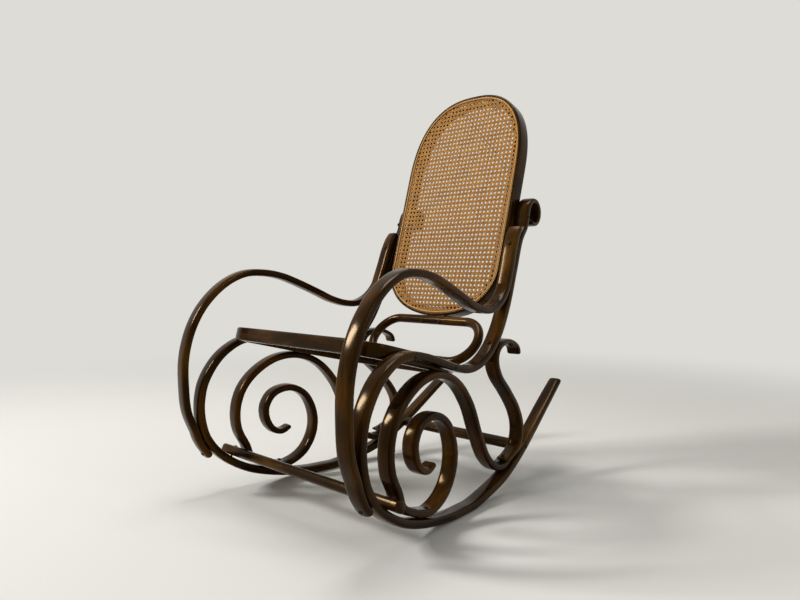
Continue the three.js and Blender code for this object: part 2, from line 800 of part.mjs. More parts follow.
// Cuts a screw's hole, with its clearance, from each piece that the screw passes through
chair.updateMatrixWorld(true);
for (const { mesh, length, targets } of drillings) {
  for (const target of targets) {
    const way = target.matrixWorld.clone().invert().multiply(mesh.matrixWorld);
    const hole = screwBody(length, fitGap).applyMatrix4(way);
    const cut = solidOf(target.geometry).subtract(solidOf(hole, way.determinant() < 0));
    target.geometry = geometryOf(cut);
  }
}

// Turns the chair until the stretch of runner that it stands on is level
const standing = nearest(runnerPath, new THREE.Vector2(standingShare * sideDepth, 0));
chair.rotation.x = -Math.atan2(standing.along.y, standing.along.x);

// Puts the origin under the middle of the chair, on the floor
chair.updateMatrixWorld(true);
const box = new THREE.Box3().setFromObject(chair, true);
const middleOfBox = box.getCenter(new THREE.Vector3());
chair.position.set(-middleOfBox.x, -middleOfBox.y, -box.min.z);

const rockingChair = new THREE.Group();
rockingChair.add(chair);

export default rockingChair;
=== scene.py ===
"""Dresses the bentwood rocking chair: smooth bent rods, woven cane, reed, screws and a stage."""

import math

import bmesh
import bpy
import numpy as np
from mathutils import Matrix, Vector


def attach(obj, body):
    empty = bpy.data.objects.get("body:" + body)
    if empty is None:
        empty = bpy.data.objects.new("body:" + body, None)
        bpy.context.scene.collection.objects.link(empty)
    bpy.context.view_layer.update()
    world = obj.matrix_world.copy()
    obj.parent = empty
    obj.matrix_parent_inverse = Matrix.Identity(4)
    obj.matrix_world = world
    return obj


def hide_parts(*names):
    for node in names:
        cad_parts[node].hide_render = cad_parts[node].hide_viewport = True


bl_info = {
    "name": "Bentwood Rocking Chair",
    "version": (1, 0, 0),
    "blender": (4, 5, 0),
    "location": "View3D > Sidebar > Rocker",
    "description": "Builds a caned bentwood rocking chair round its solid model",
    "category": "Add Mesh",
}

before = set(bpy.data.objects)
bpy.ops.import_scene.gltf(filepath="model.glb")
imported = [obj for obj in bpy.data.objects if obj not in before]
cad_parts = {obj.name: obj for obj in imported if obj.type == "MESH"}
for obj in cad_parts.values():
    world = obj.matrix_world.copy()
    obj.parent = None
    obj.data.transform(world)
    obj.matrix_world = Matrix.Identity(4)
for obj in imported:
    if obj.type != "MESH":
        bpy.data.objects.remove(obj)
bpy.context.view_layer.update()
MM = 0.001

# The plane of one side: its scale, its splay and where it stands in the chair, in millimetres
SIDE_DEPTH = 910.0
SIDE_HEIGHT = 744.0
HALF_WIDTH = 261.4
SPLAY = math.radians(6.28)
CHAIR_MIDDLE = 203.434
FLOOR_DROP = 0.91

# The small scroll at the top of a post: its angles in degrees, and shares of the thickness
HOOK_RADIUS = 31.0
HOOK_START, HOOK_END, HOOK_POINTS = -120.0, 150.0, 7
HOOK_TIP_SHARE, HOOK_NECK_SHARE = 0.5, 0.72

# Bent rods, in millimetres: an arm bows outwards, a scroll lies inside the plane of its side
# and a rear support outside it
ROD_WIDTH = 36.0
RUNNER_THICKNESS = 20.5
ARM_THICKNESS, ARM_BOW = 18.5, 3.0
SCROLL_THICKNESS, SCROLL_INSET = 18.5, 6.0
SUPPORT_THICKNESS, SUPPORT_OUTSET = 18.0, 3.0

# Clear space in millimetres between two rods, and between all other pieces that meet
ROD_GAP = 0.5
FIT_GAP = 0.3

# Seat and back frames, in millimetres, and how far each leans
SEAT_DEPTH = 400.0
SEAT_TILT = math.radians(14)
SEAT_RIM_HEIGHT = 31.5
SEAT_FRONT_CORNER, SEAT_REAR_CORNER = 77.0, 158.0
BACK_TILT = math.radians(16.25)
BACK_FRAME_DEPTH = 40.0
BACK_ABOVE, BACK_BELOW = 81.0, 183.0
BACK_ARCH, BACK_FOOT = 239.6, 140.5
ARCH_POWER, FOOT_POWER = 2.5, 2.2
FRAME_WIDTH = 24.0
LIP_WIDTH = 7.0
LEDGE_DROP = 4.5
EDGE_ROUND = 5.0

# Reed and cane, in millimetres: how high over the ledge the reed's foot and shoulder and the
# middle of the cane lie, and how far the reed's crown stays under the frame's face
REED_FOOT, REED_SHOULDER, REED_SINK = 1.9, 2.6, 0.2
CANE_HEIGHT = 1.1

# Directions seen square to the chair: rearward along the seat, and up along the back
SEAT_RUN = np.array([math.cos(SEAT_TILT), -math.sin(SEAT_TILT)])
BACK_RUN = np.array([math.sin(BACK_TILT), math.cos(BACK_TILT)])

# Loop under the back, in millimetres, and the points round its section and round each end
LOOP_RADIUS = 12.0
LOOP_SIDE_INSET = 2.4
LOOP_RISE = 4.0
LOOP_SET_BACK = 5.0
LOOP_SIDES, LOOP_STEPS = 20, 48

# Centre lines as shares of the side's depth and height, then of the rod's thickness and width
SEAT_FRONT = (-0.161, 0.567)
BACK_MIDDLE = (0.468, 1.001)
HOOK_CENTRE = (0.531, 0.949)
POST = [
    (0.482, 0.899, 0.80), (0.451, 0.852, 0.88), (0.418, 0.751, 0.88), (0.378, 0.630, 0.88),
    (0.338, 0.547, 0.88), (0.295, 0.492, 0.88), (0.245, 0.457, 0.88), (0.186, 0.444, 0.88),
    (0.113, 0.462, 0.88), (0.029, 0.495, 0.88), (-0.011, 0.508, 0.88), (-0.056, 0.517, 0.88),
    (-0.103, 0.511, 0.88), (-0.137, 0.493, 0.92), (-0.171, 0.462, 0.96), (-0.199, 0.419),
    (-0.217, 0.375), (-0.225, 0.332), (-0.227, 0.292), (-0.223, 0.249), (-0.212, 0.204),
    (-0.191, 0.163), (-0.162, 0.126), (-0.129, 0.097), (-0.088, 0.070), (-0.042, 0.050),
    (0.006, 0.035), (0.055, 0.025), (0.110, 0.017), (0.164, 0.015), (0.208, 0.015),
    (0.265, 0.026), (0.365, 0.055), (0.453, 0.106), (0.532, 0.167), (0.622, 0.242, 0.88),
    (0.723, 0.324, 0.80),
]
ARM = [
    (0.442, 0.902), (0.420, 0.839), (0.392, 0.769), (0.371, 0.698), (0.340, 0.645),
    (0.294, 0.622), (0.251, 0.623), (0.198, 0.640), (0.152, 0.665), (0.109, 0.688),
    (0.067, 0.709), (0.028, 0.726), (-0.022, 0.738), (-0.084, 0.738), (-0.129, 0.719),
    (-0.172, 0.684), (-0.213, 0.631), (-0.239, 0.578), (-0.256, 0.523), (-0.267, 0.456),
    (-0.268, 0.375), (-0.262, 0.295), (-0.248, 0.221), (-0.228, 0.173), (-0.203, 0.134),
]
SCROLL = [
    (0.042, 0.193, 0.62, 0.85), (0.013, 0.180, 0.80, 0.95), (-0.014, 0.192, 0.95),
    (-0.034, 0.227), (-0.037, 0.274), (-0.012, 0.318), (0.043, 0.331), (0.094, 0.297),
    (0.123, 0.219), (0.117, 0.148), (0.081, 0.088), (0.016, 0.061), (-0.043, 0.081),
    (-0.084, 0.110), (-0.098, 0.152), (-0.122, 0.212), (-0.126, 0.278), (-0.109, 0.344),
    (-0.070, 0.398), (-0.004, 0.440), (0.067, 0.445), (0.139, 0.410), (0.199, 0.333),
    (0.242, 0.230), (0.284, 0.144), (0.335, 0.097), (0.385, 0.089), (0.418, 0.100, 0.66),
    (0.458, 0.128, 0.32),
]
SUPPORT = [
    (0.438, 0.460, 0.62), (0.430, 0.485, 0.62), (0.389, 0.509, 0.68), (0.349, 0.507, 0.80),
    (0.319, 0.486, 0.92), (0.312, 0.449), (0.330, 0.401), (0.379, 0.343), (0.431, 0.272),
    (0.453, 0.214), (0.449, 0.164), (0.429, 0.130, 0.80), (0.400, 0.113, 0.60),
    (0.371, 0.109, 0.50),
]

# Rows of a rod that rest on another rod
ARM_TOUCHES = (0, 1, 2, 3, 22, 23, 24)
SCROLL_TOUCHES = (11, 26, 27, 28)
SUPPORT_TOUCHES = (4, 12, 13)


def linear(code):
    """Linear RGB and alpha of an sRGB hex colour such as #4a2f12."""
    parts = [int(code[i : i + 2], 16) / 255 for i in (1, 3, 5)]
    low = [p / 12.92 if p <= 0.04045 else ((p + 0.055) / 1.055) ** 2.4 for p in parts]
    return (*low, 1.0)


class RockerSizes(bpy.types.PropertyGroup):
    """Sizes that a maker would change without touching the solid model."""

    rod_width: bpy.props.FloatProperty(
        name="Rod width", description="Width of a bent rod across the chair",
        default=ROD_WIDTH * MM, unit="LENGTH",
    )
    rod_squareness: bpy.props.FloatProperty(
        name="Rod squareness", description="2 is an oval section, larger is squarer",
        default=5.0, min=2.0, max=8.0,
    )
    ring_step: bpy.props.FloatProperty(
        name="Ring step", description="Distance between the rings of a bent rod",
        default=5 * MM, unit="LENGTH",
    )
    cane_pitch: bpy.props.FloatProperty(
        name="Cane pitch", description="Repeat of the cane weave, half an inch",
        default=12.7 * MM, unit="LENGTH",
    )
    strand_width: bpy.props.FloatProperty(
        name="Strand width", description="Width of one upright or level cane strand",
        default=3.4 * MM, unit="LENGTH",
    )
    diagonal_width: bpy.props.FloatProperty(
        name="Diagonal width", description="Width of one diagonal cane strand",
        default=3.9 * MM, unit="LENGTH",
    )
    strand_thickness: bpy.props.FloatProperty(
        name="Strand thickness", description="Thickness of a cane strand",
        default=0.6 * MM, unit="LENGTH",
    )
    pair_spread: bpy.props.FloatProperty(
        name="Pair spread", description="From the middle of a pair to each of its strands",
        default=1.7 * MM, unit="LENGTH",
    )
    reed_width: bpy.props.FloatProperty(
        name="Reed width", description="Width of the reed that wedges the cane in its groove",
        default=5.5 * MM, unit="LENGTH",
    )


def colour_property(name, description, code):
    """A colour setting with an sRGB hex default."""
    return bpy.props.FloatVectorProperty(
        name=name, description=description, default=linear(code), size=4,
        min=0.0, max=1.0, subtype="COLOR",
    )


class RockerColours(bpy.types.PropertyGroup):
    """Colours of the finishes and of the floor."""

    wood_dark: colour_property("Dark wood", "Stain in the pores", "#120902")
    wood_middle: colour_property("Middle wood", "Stain on the open face", "#261404")
    wood_light: colour_property("Light wood", "Stain where it is thin", "#4e310c")
    cane_dark: colour_property("Dark cane", "Darker strands of the cane", "#86540f")
    cane_light: colour_property("Light cane", "Lighter strands of the cane", "#d19327")
    # Painted shade at the edges of each cane strand, standing in for the shade between strands
    cane_edge_painted_shade: colour_property("Cane edge", "Edges of the cane strands", "#321a06")
    reed: colour_property("Reed", "Varnished reed round the cane", "#b07a1e")
    bronze: colour_property("Bronze", "Bronzed steel of the screws", "#2b2117")
    floor: colour_property("Floor", "Plain pale floor", "#dcdad4")
    backdrop: colour_property("Backdrop", "Pale surroundings", "#dddcd6")


def add_node(tree, kind, settings=None, links=None):
    """Adds a node with its settings, and links its inputs to other nodes' outputs."""
    node = tree.nodes.new(kind)
    for key, value in (settings or {}).items():
        if key == "stops":
            elements = node.color_ramp.elements
            while len(elements) < len(value):
                elements.new(0.5)
            for element, (place, colour) in zip(elements, value):
                element.position = place
                element.color = colour
        elif isinstance(key, int) or key in node.inputs:
            node.inputs[key].default_value = value
        else:
            setattr(node, key, value)
    for key, source in (links or {}).items():
        tree.links.new(source, node.inputs[key])
    return node


def new_material(name):
    """An empty material, and its node tree."""
    material = bpy.data.materials.new(name)
    material.use_nodes = True
    tree = material.node_tree
    tree.nodes.clear()
    return material, tree


def shaded(colour, share):
    """The colour made darker or brighter by a share, at most to white."""
    return [min(1.0, part * share) for part in colour[:3]] + [1.0]


def grain_pattern(tree, size, settings):
    """Noise drawn out along the grain: its coarsest spots' length and width in millimetres."""
    along, across = (1 / (part * MM) for part in size)
    grain = add_node(tree, "ShaderNodeAttribute", {"attribute_name": "grain"})
    place = add_node(
        tree, "ShaderNodeMapping", {"Scale": (along, across, across)},
        {"Vector": grain.outputs["Vector"]},
    )
    return add_node(
        tree, "ShaderNodeTexNoise", {"Scale": 1.0, **settings}, {"Vector": place.outputs[0]},
    ).outputs["Fac"]


# Flecks of beech are about 6 mm long and 0.5 mm wide, too fine to show in the render. The
# noise starts at this size in millimetres, and its third finer layer is 7 by 0.3 mm.
FLECK_SIZE = (55.6, 2.38)
FLECK_SHARE = 0.3

# The stain changes slowly over patches of this length and width in millimetres
PATCH_SIZE = (142.9, 45.5)

# The photograph's highlights on the wood are amber, so what the lacquer mirrors is tinted
LACQUER_TINT = "#ffc878"


# Beech stained dark walnut, steam bent, sanded and lacquered to a gloss: fine flecks along
# the rod under a film that gives long highlights.
def lacquered_beech(name, colours, depth=1.0):
    """Stained beech under gloss lacquer, its grain along the bent rod."""
    material, tree = new_material(name)
    flecks = grain_pattern(tree, FLECK_SIZE, {"Detail": 6.0, "Roughness": 0.62})
    patches = grain_pattern(tree, PATCH_SIZE, {"Detail": 3.0})
    mixed = add_node(
        tree, "ShaderNodeMath", {"operation": "MULTIPLY_ADD", 1: FLECK_SHARE},
        {0: flecks, 2: patches},
    )
    stain = add_node(
        tree, "ShaderNodeValToRGB",
        {"stops": [
            (0.45, shaded(colours.wood_dark, depth)),
            (0.65, shaded(colours.wood_middle, depth)),
            (0.9, shaded(colours.wood_light, depth)),
        ]},
        {"Fac": mixed.outputs[0]},
    )
    polish = add_node(
        tree, "ShaderNodeMapRange",
        {"From Min": 0.3, "From Max": 0.75, "To Min": 0.12, "To Max": 0.2},
        {"Value": patches},
    )
    relief = add_node(
        tree, "ShaderNodeBump", {"Strength": 0.06, "Distance": 0.3 * MM}, {"Height": flecks},
    )
    shader = add_node(
        tree, "ShaderNodeBsdfPrincipled",
        {"IOR": 1.45, "Specular IOR Level": 0.17, "Specular Tint": linear(LACQUER_TINT)},
        {
            "Base Color": stain.outputs["Color"],
            "Roughness": polish.outputs[0],
            "Normal": relief.outputs[0],
        },
    )
    add_node(tree, "ShaderNodeOutputMaterial", links={"Surface": shader.outputs[0]})
    return material


# Fibres of cane are about 0.3 mm wide, too fine to show in the render. The streaks start at
# this size in millimetres, and their second finer layer is that fine.
STREAK_SIZE = (22.2, 1.11)
STREAK_SHARE = 0.5


# Rattan cane, split, shaved and woven wet: a hard satin skin, each strand its own tone.
def woven_cane(name, colours):
    """Natural golden cane strands, each with its own tone and fine lengthwise streaks."""
    material, tree = new_material(name)
    streaks = grain_pattern(tree, STREAK_SIZE, {"Detail": 3.0})
    tone = add_node(tree, "ShaderNodeAttribute", {"attribute_name": "tone"})
    mixed = add_node(
        tree, "ShaderNodeMath", {"operation": "MULTIPLY_ADD", 1: STREAK_SHARE},
        {0: streaks, 2: tone.outputs["Fac"]},
    )
    colour = add_node(
        tree, "ShaderNodeValToRGB",
        {"stops": [(0.25, colours.cane_dark), (0.95, colours.cane_light)]},
        {"Fac": mixed.outputs[0]},
    )
    # Painted shade: each strand darkens towards its edges, standing in for the shade between the
    # strands
    grain = add_node(tree, "ShaderNodeAttribute", {"attribute_name": "grain"})
    across = add_node(
        tree, "ShaderNodeSeparateXYZ", links={"Vector": grain.outputs["Vector"]},
    )
    out = add_node(
        tree, "ShaderNodeMath", {"operation": "ABSOLUTE"}, {0: across.outputs["Y"]},
    )
    edge = add_node(
        tree, "ShaderNodeMapRange",
        {"From Min": 0.7 * MM, "From Max": 1.5 * MM, "To Min": 0.0, "To Max": 0.85},
        {"Value": out.outputs[0]},
    )
    painted_edge_shade = add_node(
        tree, "ShaderNodeMix", {"data_type": "RGBA", 7: colours.cane_edge_painted_shade},
        {0: edge.outputs[0], 6: colour.outputs["Color"]},
    )
    relief = add_node(
        tree, "ShaderNodeBump", {"Strength": 0.2, "Distance": 0.1 * MM}, {"Height": streaks},
    )
    shader = add_node(
        tree, "ShaderNodeBsdfPrincipled",
        {"IOR": 1.5, "Roughness": 0.42, "Specular IOR Level": 0.3},
        {"Base Color": painted_edge_shade.outputs[2], "Normal": relief.outputs[0]},
    )
    add_node(tree, "ShaderNodeOutputMaterial", links={"Surface": shader.outputs[0]})
    return material


# Pores of reed are about 0.3 mm wide and run far along it, drawn as fine as the cane's streaks
PORE_SIZE = (40.0, 1.11)
PORE_DEPTH = 0.55


# Round reed core, driven into the groove and varnished: long pores along a satin surface.
def varnished_reed(name, colours):
    """Golden reed with fine pores along it."""
    material, tree = new_material(name)
    pores = grain_pattern(tree, PORE_SIZE, {"Detail": 4.0})
    colour = add_node(
        tree, "ShaderNodeValToRGB",
        {"stops": [(0.3, shaded(colours.reed, PORE_DEPTH)), (0.62, colours.reed)]},
        {"Fac": pores},
    )
    relief = add_node(
        tree, "ShaderNodeBump", {"Strength": 0.25, "Distance": 0.2 * MM}, {"Height": pores},
    )
    shader = add_node(
        tree, "ShaderNodeBsdfPrincipled",
        {"IOR": 1.5, "Roughness": 0.38, "Specular IOR Level": 0.3},
        {"Base Color": colour.outputs["Color"], "Normal": relief.outputs[0]},
    )
    add_node(tree, "ShaderNodeOutputMaterial", links={"Surface": shader.outputs[0]})
    return material


# Spots of wear on a screw, in millimetres, and how much brighter they are
WORN_SPOT = 1.11
WORN_SHARE = 2.2


# Steel screws, turned and bronzed: dull brown metal with brighter spots of wear.
def bronzed_steel(name, colours):
    """Bronzed steel with light wear."""
    material, tree = new_material(name)
    place = add_node(tree, "ShaderNodeTexCoord")
    spots = add_node(
        tree, "ShaderNodeTexNoise", {"Scale": 1 / (WORN_SPOT * MM), "Detail": 3.0},
        {"Vector": place.outputs["Object"]},
    )
    colour = add_node(
        tree, "ShaderNodeValToRGB",
        {"stops": [(0.45, colours.bronze), (0.7, shaded(colours.bronze, WORN_SHARE))]},
        {"Fac": spots.outputs["Fac"]},
    )
    polish = add_node(
        tree, "ShaderNodeMapRange", {"To Min": 0.3, "To Max": 0.5},
        {"Value": spots.outputs["Fac"]},
    )
    shader = add_node(
        tree, "ShaderNodeBsdfPrincipled", {"Metallic": 1.0},
        {"Base Color": colour.outputs["Color"], "Roughness": polish.outputs[0]},
    )
    add_node(tree, "ShaderNodeOutputMaterial", links={"Surface": shader.outputs[0]})
    return material


# Each slot's material and what makes it. The seat rim is stained a little darker.
MATERIALS = {
    "stained_beech": ("beech_stained_lacquered", lacquered_beech),
    "seat_beech": ("beech_seat_lacquered", lacquered_beech, 0.9),
    "cane": ("split_rattan_cane_woven", woven_cane),
    "reed": ("reed_core_varnished", varnished_reed),
    "bronzed_steel": ("steel_turned_bronzed", bronzed_steel),
}


def material_for(slot):
    """The material of a slot, made once."""
    name, make, *more = MATERIALS[slot]
    made = bpy.data.materials.get(name)
    return made or make(name, bpy.context.scene.rocker_colours, *more)


def new_piece(name, points, faces, grain, slot, node, tone=None):
    """A smooth mesh piece in metres, with its grain, that stands for a CAD node."""
    mesh = bpy.data.meshes.new(name)
    mesh.from_pydata(np.asarray(points).tolist(), [], faces)
    mesh.validate()
    grain_store = mesh.attributes.new("grain", "FLOAT_VECTOR", "POINT")
    grain_store.data.foreach_set("vector", np.asarray(grain, np.float32).ravel())
    if tone is not None:
        tone_store = mesh.attributes.new("tone", "FLOAT", "POINT")
        tone_store.data.foreach_set("value", np.asarray(tone, np.float32))
    mesh.shade_smooth()
    mesh.materials.append(material_for(slot))
    piece = bpy.data.objects.new(name, mesh)
    bpy.context.scene.collection.objects.link(piece)
    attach(piece, "root")
    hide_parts(node)
    return piece


def cad_points(node):
    """The corners of a CAD node, in metres."""
    return np.array([v.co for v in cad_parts[node].data.vertices])


def tube_faces(rings, size, closed):
    """Faces between rings of equally many points, with end caps unless it is closed."""
    faces = []
    for i in range(rings if closed else rings - 1):
        near, far = i * size, ((i + 1) % rings) * size
        for k in range(size):
            after = (k + 1) % size
            faces.append((near + k, near + after, far + after, far + k))
    if not closed:
        last = (rings - 1) * size
        faces.append(tuple(range(size - 1, -1, -1)))
        faces.append(tuple(range(last, last + size)))
    return faces


def outward(points, faces):
    """The faces, turned round if they point into the body."""
    points = np.asarray(points)
    volume = 0.0
    for face in faces:
        a = points[face[0]]
        for i in range(1, len(face) - 1):
            volume += np.dot(a, np.cross(points[face[i]], points[face[i + 1]]))
    return faces if volume > 0 else [tuple(reversed(face)) for face in faces]


def at_shares(row):
    """The place of a row of shares in the plane of a side, in millimetres."""
    return np.array([row[0] * SIDE_DEPTH, row[1] * SIDE_HEIGHT])


def square_on(place):
    """The same place seen square to the chair."""
    return np.array([place[0] * math.cos(SPLAY), place[1]])


def half_clear(depth):
    """Half the clear width between the rails at a depth, to their inner faces."""
    return HALF_WIDTH - math.tan(SPLAY) * depth - ROD_WIDTH / 2 / math.cos(SPLAY)


def nearest_on(line, halves, point):
    """Closest place of a rod's centre line: the place, its half thickness and the gap."""
    start, end = line[:-1], line[1:]
    along = end - start
    share = np.clip(((point - start) * along).sum(1) / (along**2).sum(1), 0, 1)
    places = start + along * share[:, None]
    half = halves[:-1] + (halves[1:] - halves[:-1]) * share
    gaps = np.hypot(*(point - places).T) - half
    i = int(np.argmin(gaps))
    return places[i], half[i], gaps[i]


def rest_on(point, half, hosts):
    """Moves a point until a rod of that half thickness lies against the closest host."""
    place, host_half, _ = min((nearest_on(*host, point) for host in hosts), key=lambda n: n[2])
    away = (point - place) / np.linalg.norm(point - place)
    return place + away * (host_half + half + ROD_GAP)


# The spline's knots count as at least this far apart. Each span is worked out at so many
# points before the rod is divided evenly, into no fewer rings than the last number.
KNOT_APART = 1e-4
SPAN_POINTS = 40
FEWEST_RINGS = 8


def centripetal(knots, share):
    """A point of the centripetal spline through the knots at a share of its rows."""
    row = min(int(share), len(knots) - 2)
    weight = share - row
    inner = [knots[row], knots[row + 1]]
    before = knots[row - 1] if row > 0 else 2 * knots[0] - knots[1]
    after = knots[row + 2] if row + 2 < len(knots) else 2 * knots[-1] - knots[-2]
    p = [before, *inner, after]
    step = [max(np.linalg.norm(p[i + 1] - p[i]) ** 0.5, KNOT_APART) for i in range(3)]
    t1 = ((p[1] - p[0]) / step[0] - (p[2] - p[0]) / (step[0] + step[1])
          + (p[2] - p[1]) / step[1]) * step[1]
    t2 = ((p[2] - p[1]) / step[1] - (p[3] - p[1]) / (step[1] + step[2])
          + (p[3] - p[2]) / step[2]) * step[1]
    w2, w3 = weight * weight, weight**3
    return (
        (2 * w3 - 3 * w2 + 1) * p[1] + (w3 - 2 * w2 + weight) * t1
        + (3 * w2 - 2 * w3) * p[2] + (w3 - w2) * t2
    )


def bend(rows, thickness, width, step, touches=(), hosts=()):
    """Stations along a bent rod: place, half thickness, half width and run, in millimetres."""
    halves = [thickness * share / 2 for _, share, _ in rows]
    widths = [width * share / 2 for _, _, share in rows]
    knots = [
        rest_on(place, halves[i], hosts) if i in touches else place
        for i, (place, _, _) in enumerate(rows)
    ]
    shares = np.linspace(0, len(rows) - 1, SPAN_POINTS * (len(rows) - 1) + 1)
    places = np.array([centripetal(knots, share) for share in shares])
    half = np.interp(shares, range(len(rows)), halves)
    wide = np.interp(shares, range(len(rows)), widths)
    run = np.concatenate([[0], np.cumsum(np.hypot(*np.diff(places, axis=0).T))])
    even = np.linspace(0, run[-1], max(int(run[-1] / step), FEWEST_RINGS))
    places = np.array([np.interp(even, run, places[:, i]) for i in (0, 1)]).T
    half, wide = np.interp(even, run, half), np.interp(even, run, wide)
    for i, place in enumerate(places):
        for host in hosts:
            if nearest_on(*host, place)[2] < half[i] + ROD_GAP:
                places[i] = rest_on(places[i], half[i], [host])
    return places, half, wide, even


def rows_of(shares):
    """Each row's place in millimetres, and its shares of the thickness and of the width."""
    return [(at_shares(row), *(*row[2:], 1.0, 1.0)[:2]) for row in shares]


def hook_rows():
    """Rows of the small scroll at the top of a post."""
    centre = at_shares(HOOK_CENTRE)
    shares = np.linspace(HOOK_TIP_SHARE, HOOK_NECK_SHARE, HOOK_POINTS)
    angles = np.radians(np.linspace(HOOK_START, HOOK_END, HOOK_POINTS))
    return [
        (centre + np.array([math.cos(angle), math.sin(angle)]) * HOOK_RADIUS, share, 1.0)
        for angle, share in zip(angles, shares)
    ]


# The broad faces of a rod are a little round, lower at the edges by this share
CROWN = 0.09


def section(half_width, half_thickness, power, count=24):
    """Points round a rod's section, an oval drawn towards a rectangle."""
    angles = (np.arange(count) + 0.5) * (2 * math.pi / count)
    cos, sin = np.cos(angles), np.sin(angles)
    across = np.sign(cos) * np.abs(cos) ** (2 / power) * half_width
    through = np.sign(sin) * np.abs(sin) ** (2 / power) * half_thickness
    crown = 1 - CROWN * (across / half_width) ** 2
    return across, through * crown


# Over its last stretch, in millimetres, a rod's section softens towards an oval
SOFT_END = 90.0
SOFT_POWER = 2.6

# An end is rounded off over this length in millimetres, by rings at these degrees of its
# turn. All round it loses this much, or this share of the half thickness where that is less.
END_ROUND = 5.0
END_TURNS = (90, 65, 40, 20, 0)
END_SHRINK = 4.5
END_SHRINK_SHARE = 0.8

# Clear space in millimetres between a rounded end and the next ring
END_CLEAR = 1.0


def rod_rings(path, power):
    """Rings of a rod in its side's plane, and the grain's place of each point."""
    places, half, wide, run = path
    along = np.gradient(places, run, axis=0)
    along /= np.linalg.norm(along, axis=1)[:, None]
    rings, grains = [], []

    def add(i, shift, turned):
        shrink = min(END_SHRINK, END_SHRINK_SHARE * half[i]) * turned
        near_end = np.clip((run[-1] - run[i]) / SOFT_END, 0, 1)
        across, through = section(
            wide[i] - shrink, half[i] - shrink,
            SOFT_POWER + (power - SOFT_POWER) * near_end,
        )
        centre = places[i] + along[i] * shift
        rings.append(np.stack([
            across, centre[0] - along[i, 1] * through, centre[1] + along[i, 0] * through,
        ], axis=1))
        grains.append(np.stack([
            np.full_like(across, run[i] + shift), across, through,
        ], axis=1) * MM)

    turns = np.radians(END_TURNS)
    last = len(run) - 1
    for turn in turns:
        add(0, END_ROUND * (1 - math.sin(turn)), 1 - math.cos(turn))
    for i in range(1, last):
        if END_ROUND + END_CLEAR < run[i] < run[-1] - END_ROUND - END_CLEAR:
            add(i, 0, 0)
    for turn in turns[::-1]:
        add(last, -END_ROUND * (1 - math.sin(turn)), 1 - math.cos(turn))
    return np.array(rings), np.array(grains)


def side_point(points, sign):
    """Points of a side's plane in the chair's frame, in metres."""
    x, y, z = points[..., 0], points[..., 1], points[..., 2]
    out = HALF_WIDTH + x * math.cos(SPLAY) - y * math.sin(SPLAY)
    deep = y * math.cos(SPLAY) + x * math.sin(SPLAY) - CHAIR_MIDDLE
    return np.stack([sign * out, deep, np.maximum(z - FLOOR_DROP, 0)], axis=-1) * MM


def bent_paths(sizes):
    """The four rods of one side, each with its bow and its shift outwards."""
    step = sizes.ring_step / MM
    width = sizes.rod_width / MM
    runner = bend([*hook_rows(), *rows_of(POST)], RUNNER_THICKNESS, width, step)
    hosts = [runner[:2]]
    arm = bend(rows_of(ARM), ARM_THICKNESS, width, step, ARM_TOUCHES, hosts)
    scroll = bend(rows_of(SCROLL), SCROLL_THICKNESS, width, step, SCROLL_TOUCHES, hosts)
    hosts = [runner[:2], scroll[:2]]
    support = bend(rows_of(SUPPORT), SUPPORT_THICKNESS, width, step, SUPPORT_TOUCHES, hosts)
    return {
        "runner_post": (runner, 0.0, 0.0),
        "arm": (arm, ARM_BOW, 0.0),
        "scroll": (scroll, 0.0, -SCROLL_INSET),
        "rear_support": (support, 0.0, SUPPORT_OUTSET),
    }


# Left and right rods take their grain from places this far to either side, in metres
GRAIN_SHIFT = 0.7


class ROCKER_OT_bent_rods(bpy.types.Operator):
    """Bend the posts with their runners, the arms, the scrolls and the rear supports"""

    bl_idname = "rocker.bent_rods"
    bl_label = "Bent rods"

    def execute(self, context):
        sizes = context.scene.rocker_sizes
        for name, (path, bow, shift) in bent_paths(sizes).items():
            rings, grain = rod_rings(path, sizes.rod_squareness)
            reach = np.linspace(0, 1, len(rings))[:, None]
            rings[..., 0] += bow * np.sin(math.pi * reach) + shift
            faces = tube_faces(*rings.shape[:2], False)
            for hand, sign in (("left", 1), ("right", -1)):
                points = side_point(rings, sign).reshape(-1, 3)
                new_piece(
                    f"bent_{name}_{hand}", points, outward(points, faces),
                    grain.reshape(-1, 3) + [GRAIN_SHIFT * sign, 0, 0],
                    "stained_beech", f"{name}_{hand}",
                )
        return {"FINISHED"}


def arc(centre, radius, start, end, steps):
    """Points on an arc, angles in degrees."""
    angles = np.radians(np.linspace(start, end, steps + 1))
    return [np.array([centre[0] + radius * math.cos(a), centre[1] + radius * math.sin(a)])
            for a in angles]


def thinned(outline, shortest=0.5):
    """The outline without points that lie on each other."""
    kept = [outline[0]]
    for point in outline[1:]:
        if np.linalg.norm(point - kept[-1]) > shortest:
            kept.append(point)
    if np.linalg.norm(kept[0] - kept[-1]) < shortest:
        kept.pop()
    return kept


def filled(outline, longest=18.0):
    """The outline with more points where it runs straight."""
    dense = []
    for i, point in enumerate(outline):
        after = outline[(i + 1) % len(outline)]
        steps = max(1, int(np.linalg.norm(after - point) // longest))
        dense.extend(point + (after - point) * (k / steps) for k in range(steps))
    return np.array(dense)


def seat_front():
    """Where the top of the seat's front edge is, seen square to the chair."""
    return square_on(at_shares(SEAT_FRONT))


def seat_outline():
    """The seat's outline before it follows the splay, its front edge at zero."""
    half = half_clear(seat_front()[0]) - FIT_GAP
    front, rear, steps = SEAT_FRONT_CORNER, SEAT_REAR_CORNER, 24
    return filled(thinned([
        *arc((front - half, front), front, 180, 270, steps),
        *arc((half - front, front), front, 270, 360, steps),
        *arc((half - rear, SEAT_DEPTH - rear), rear, 0, 90, steps),
        *arc((rear - half, SEAT_DEPTH - rear), rear, 90, 180, steps),
    ]))


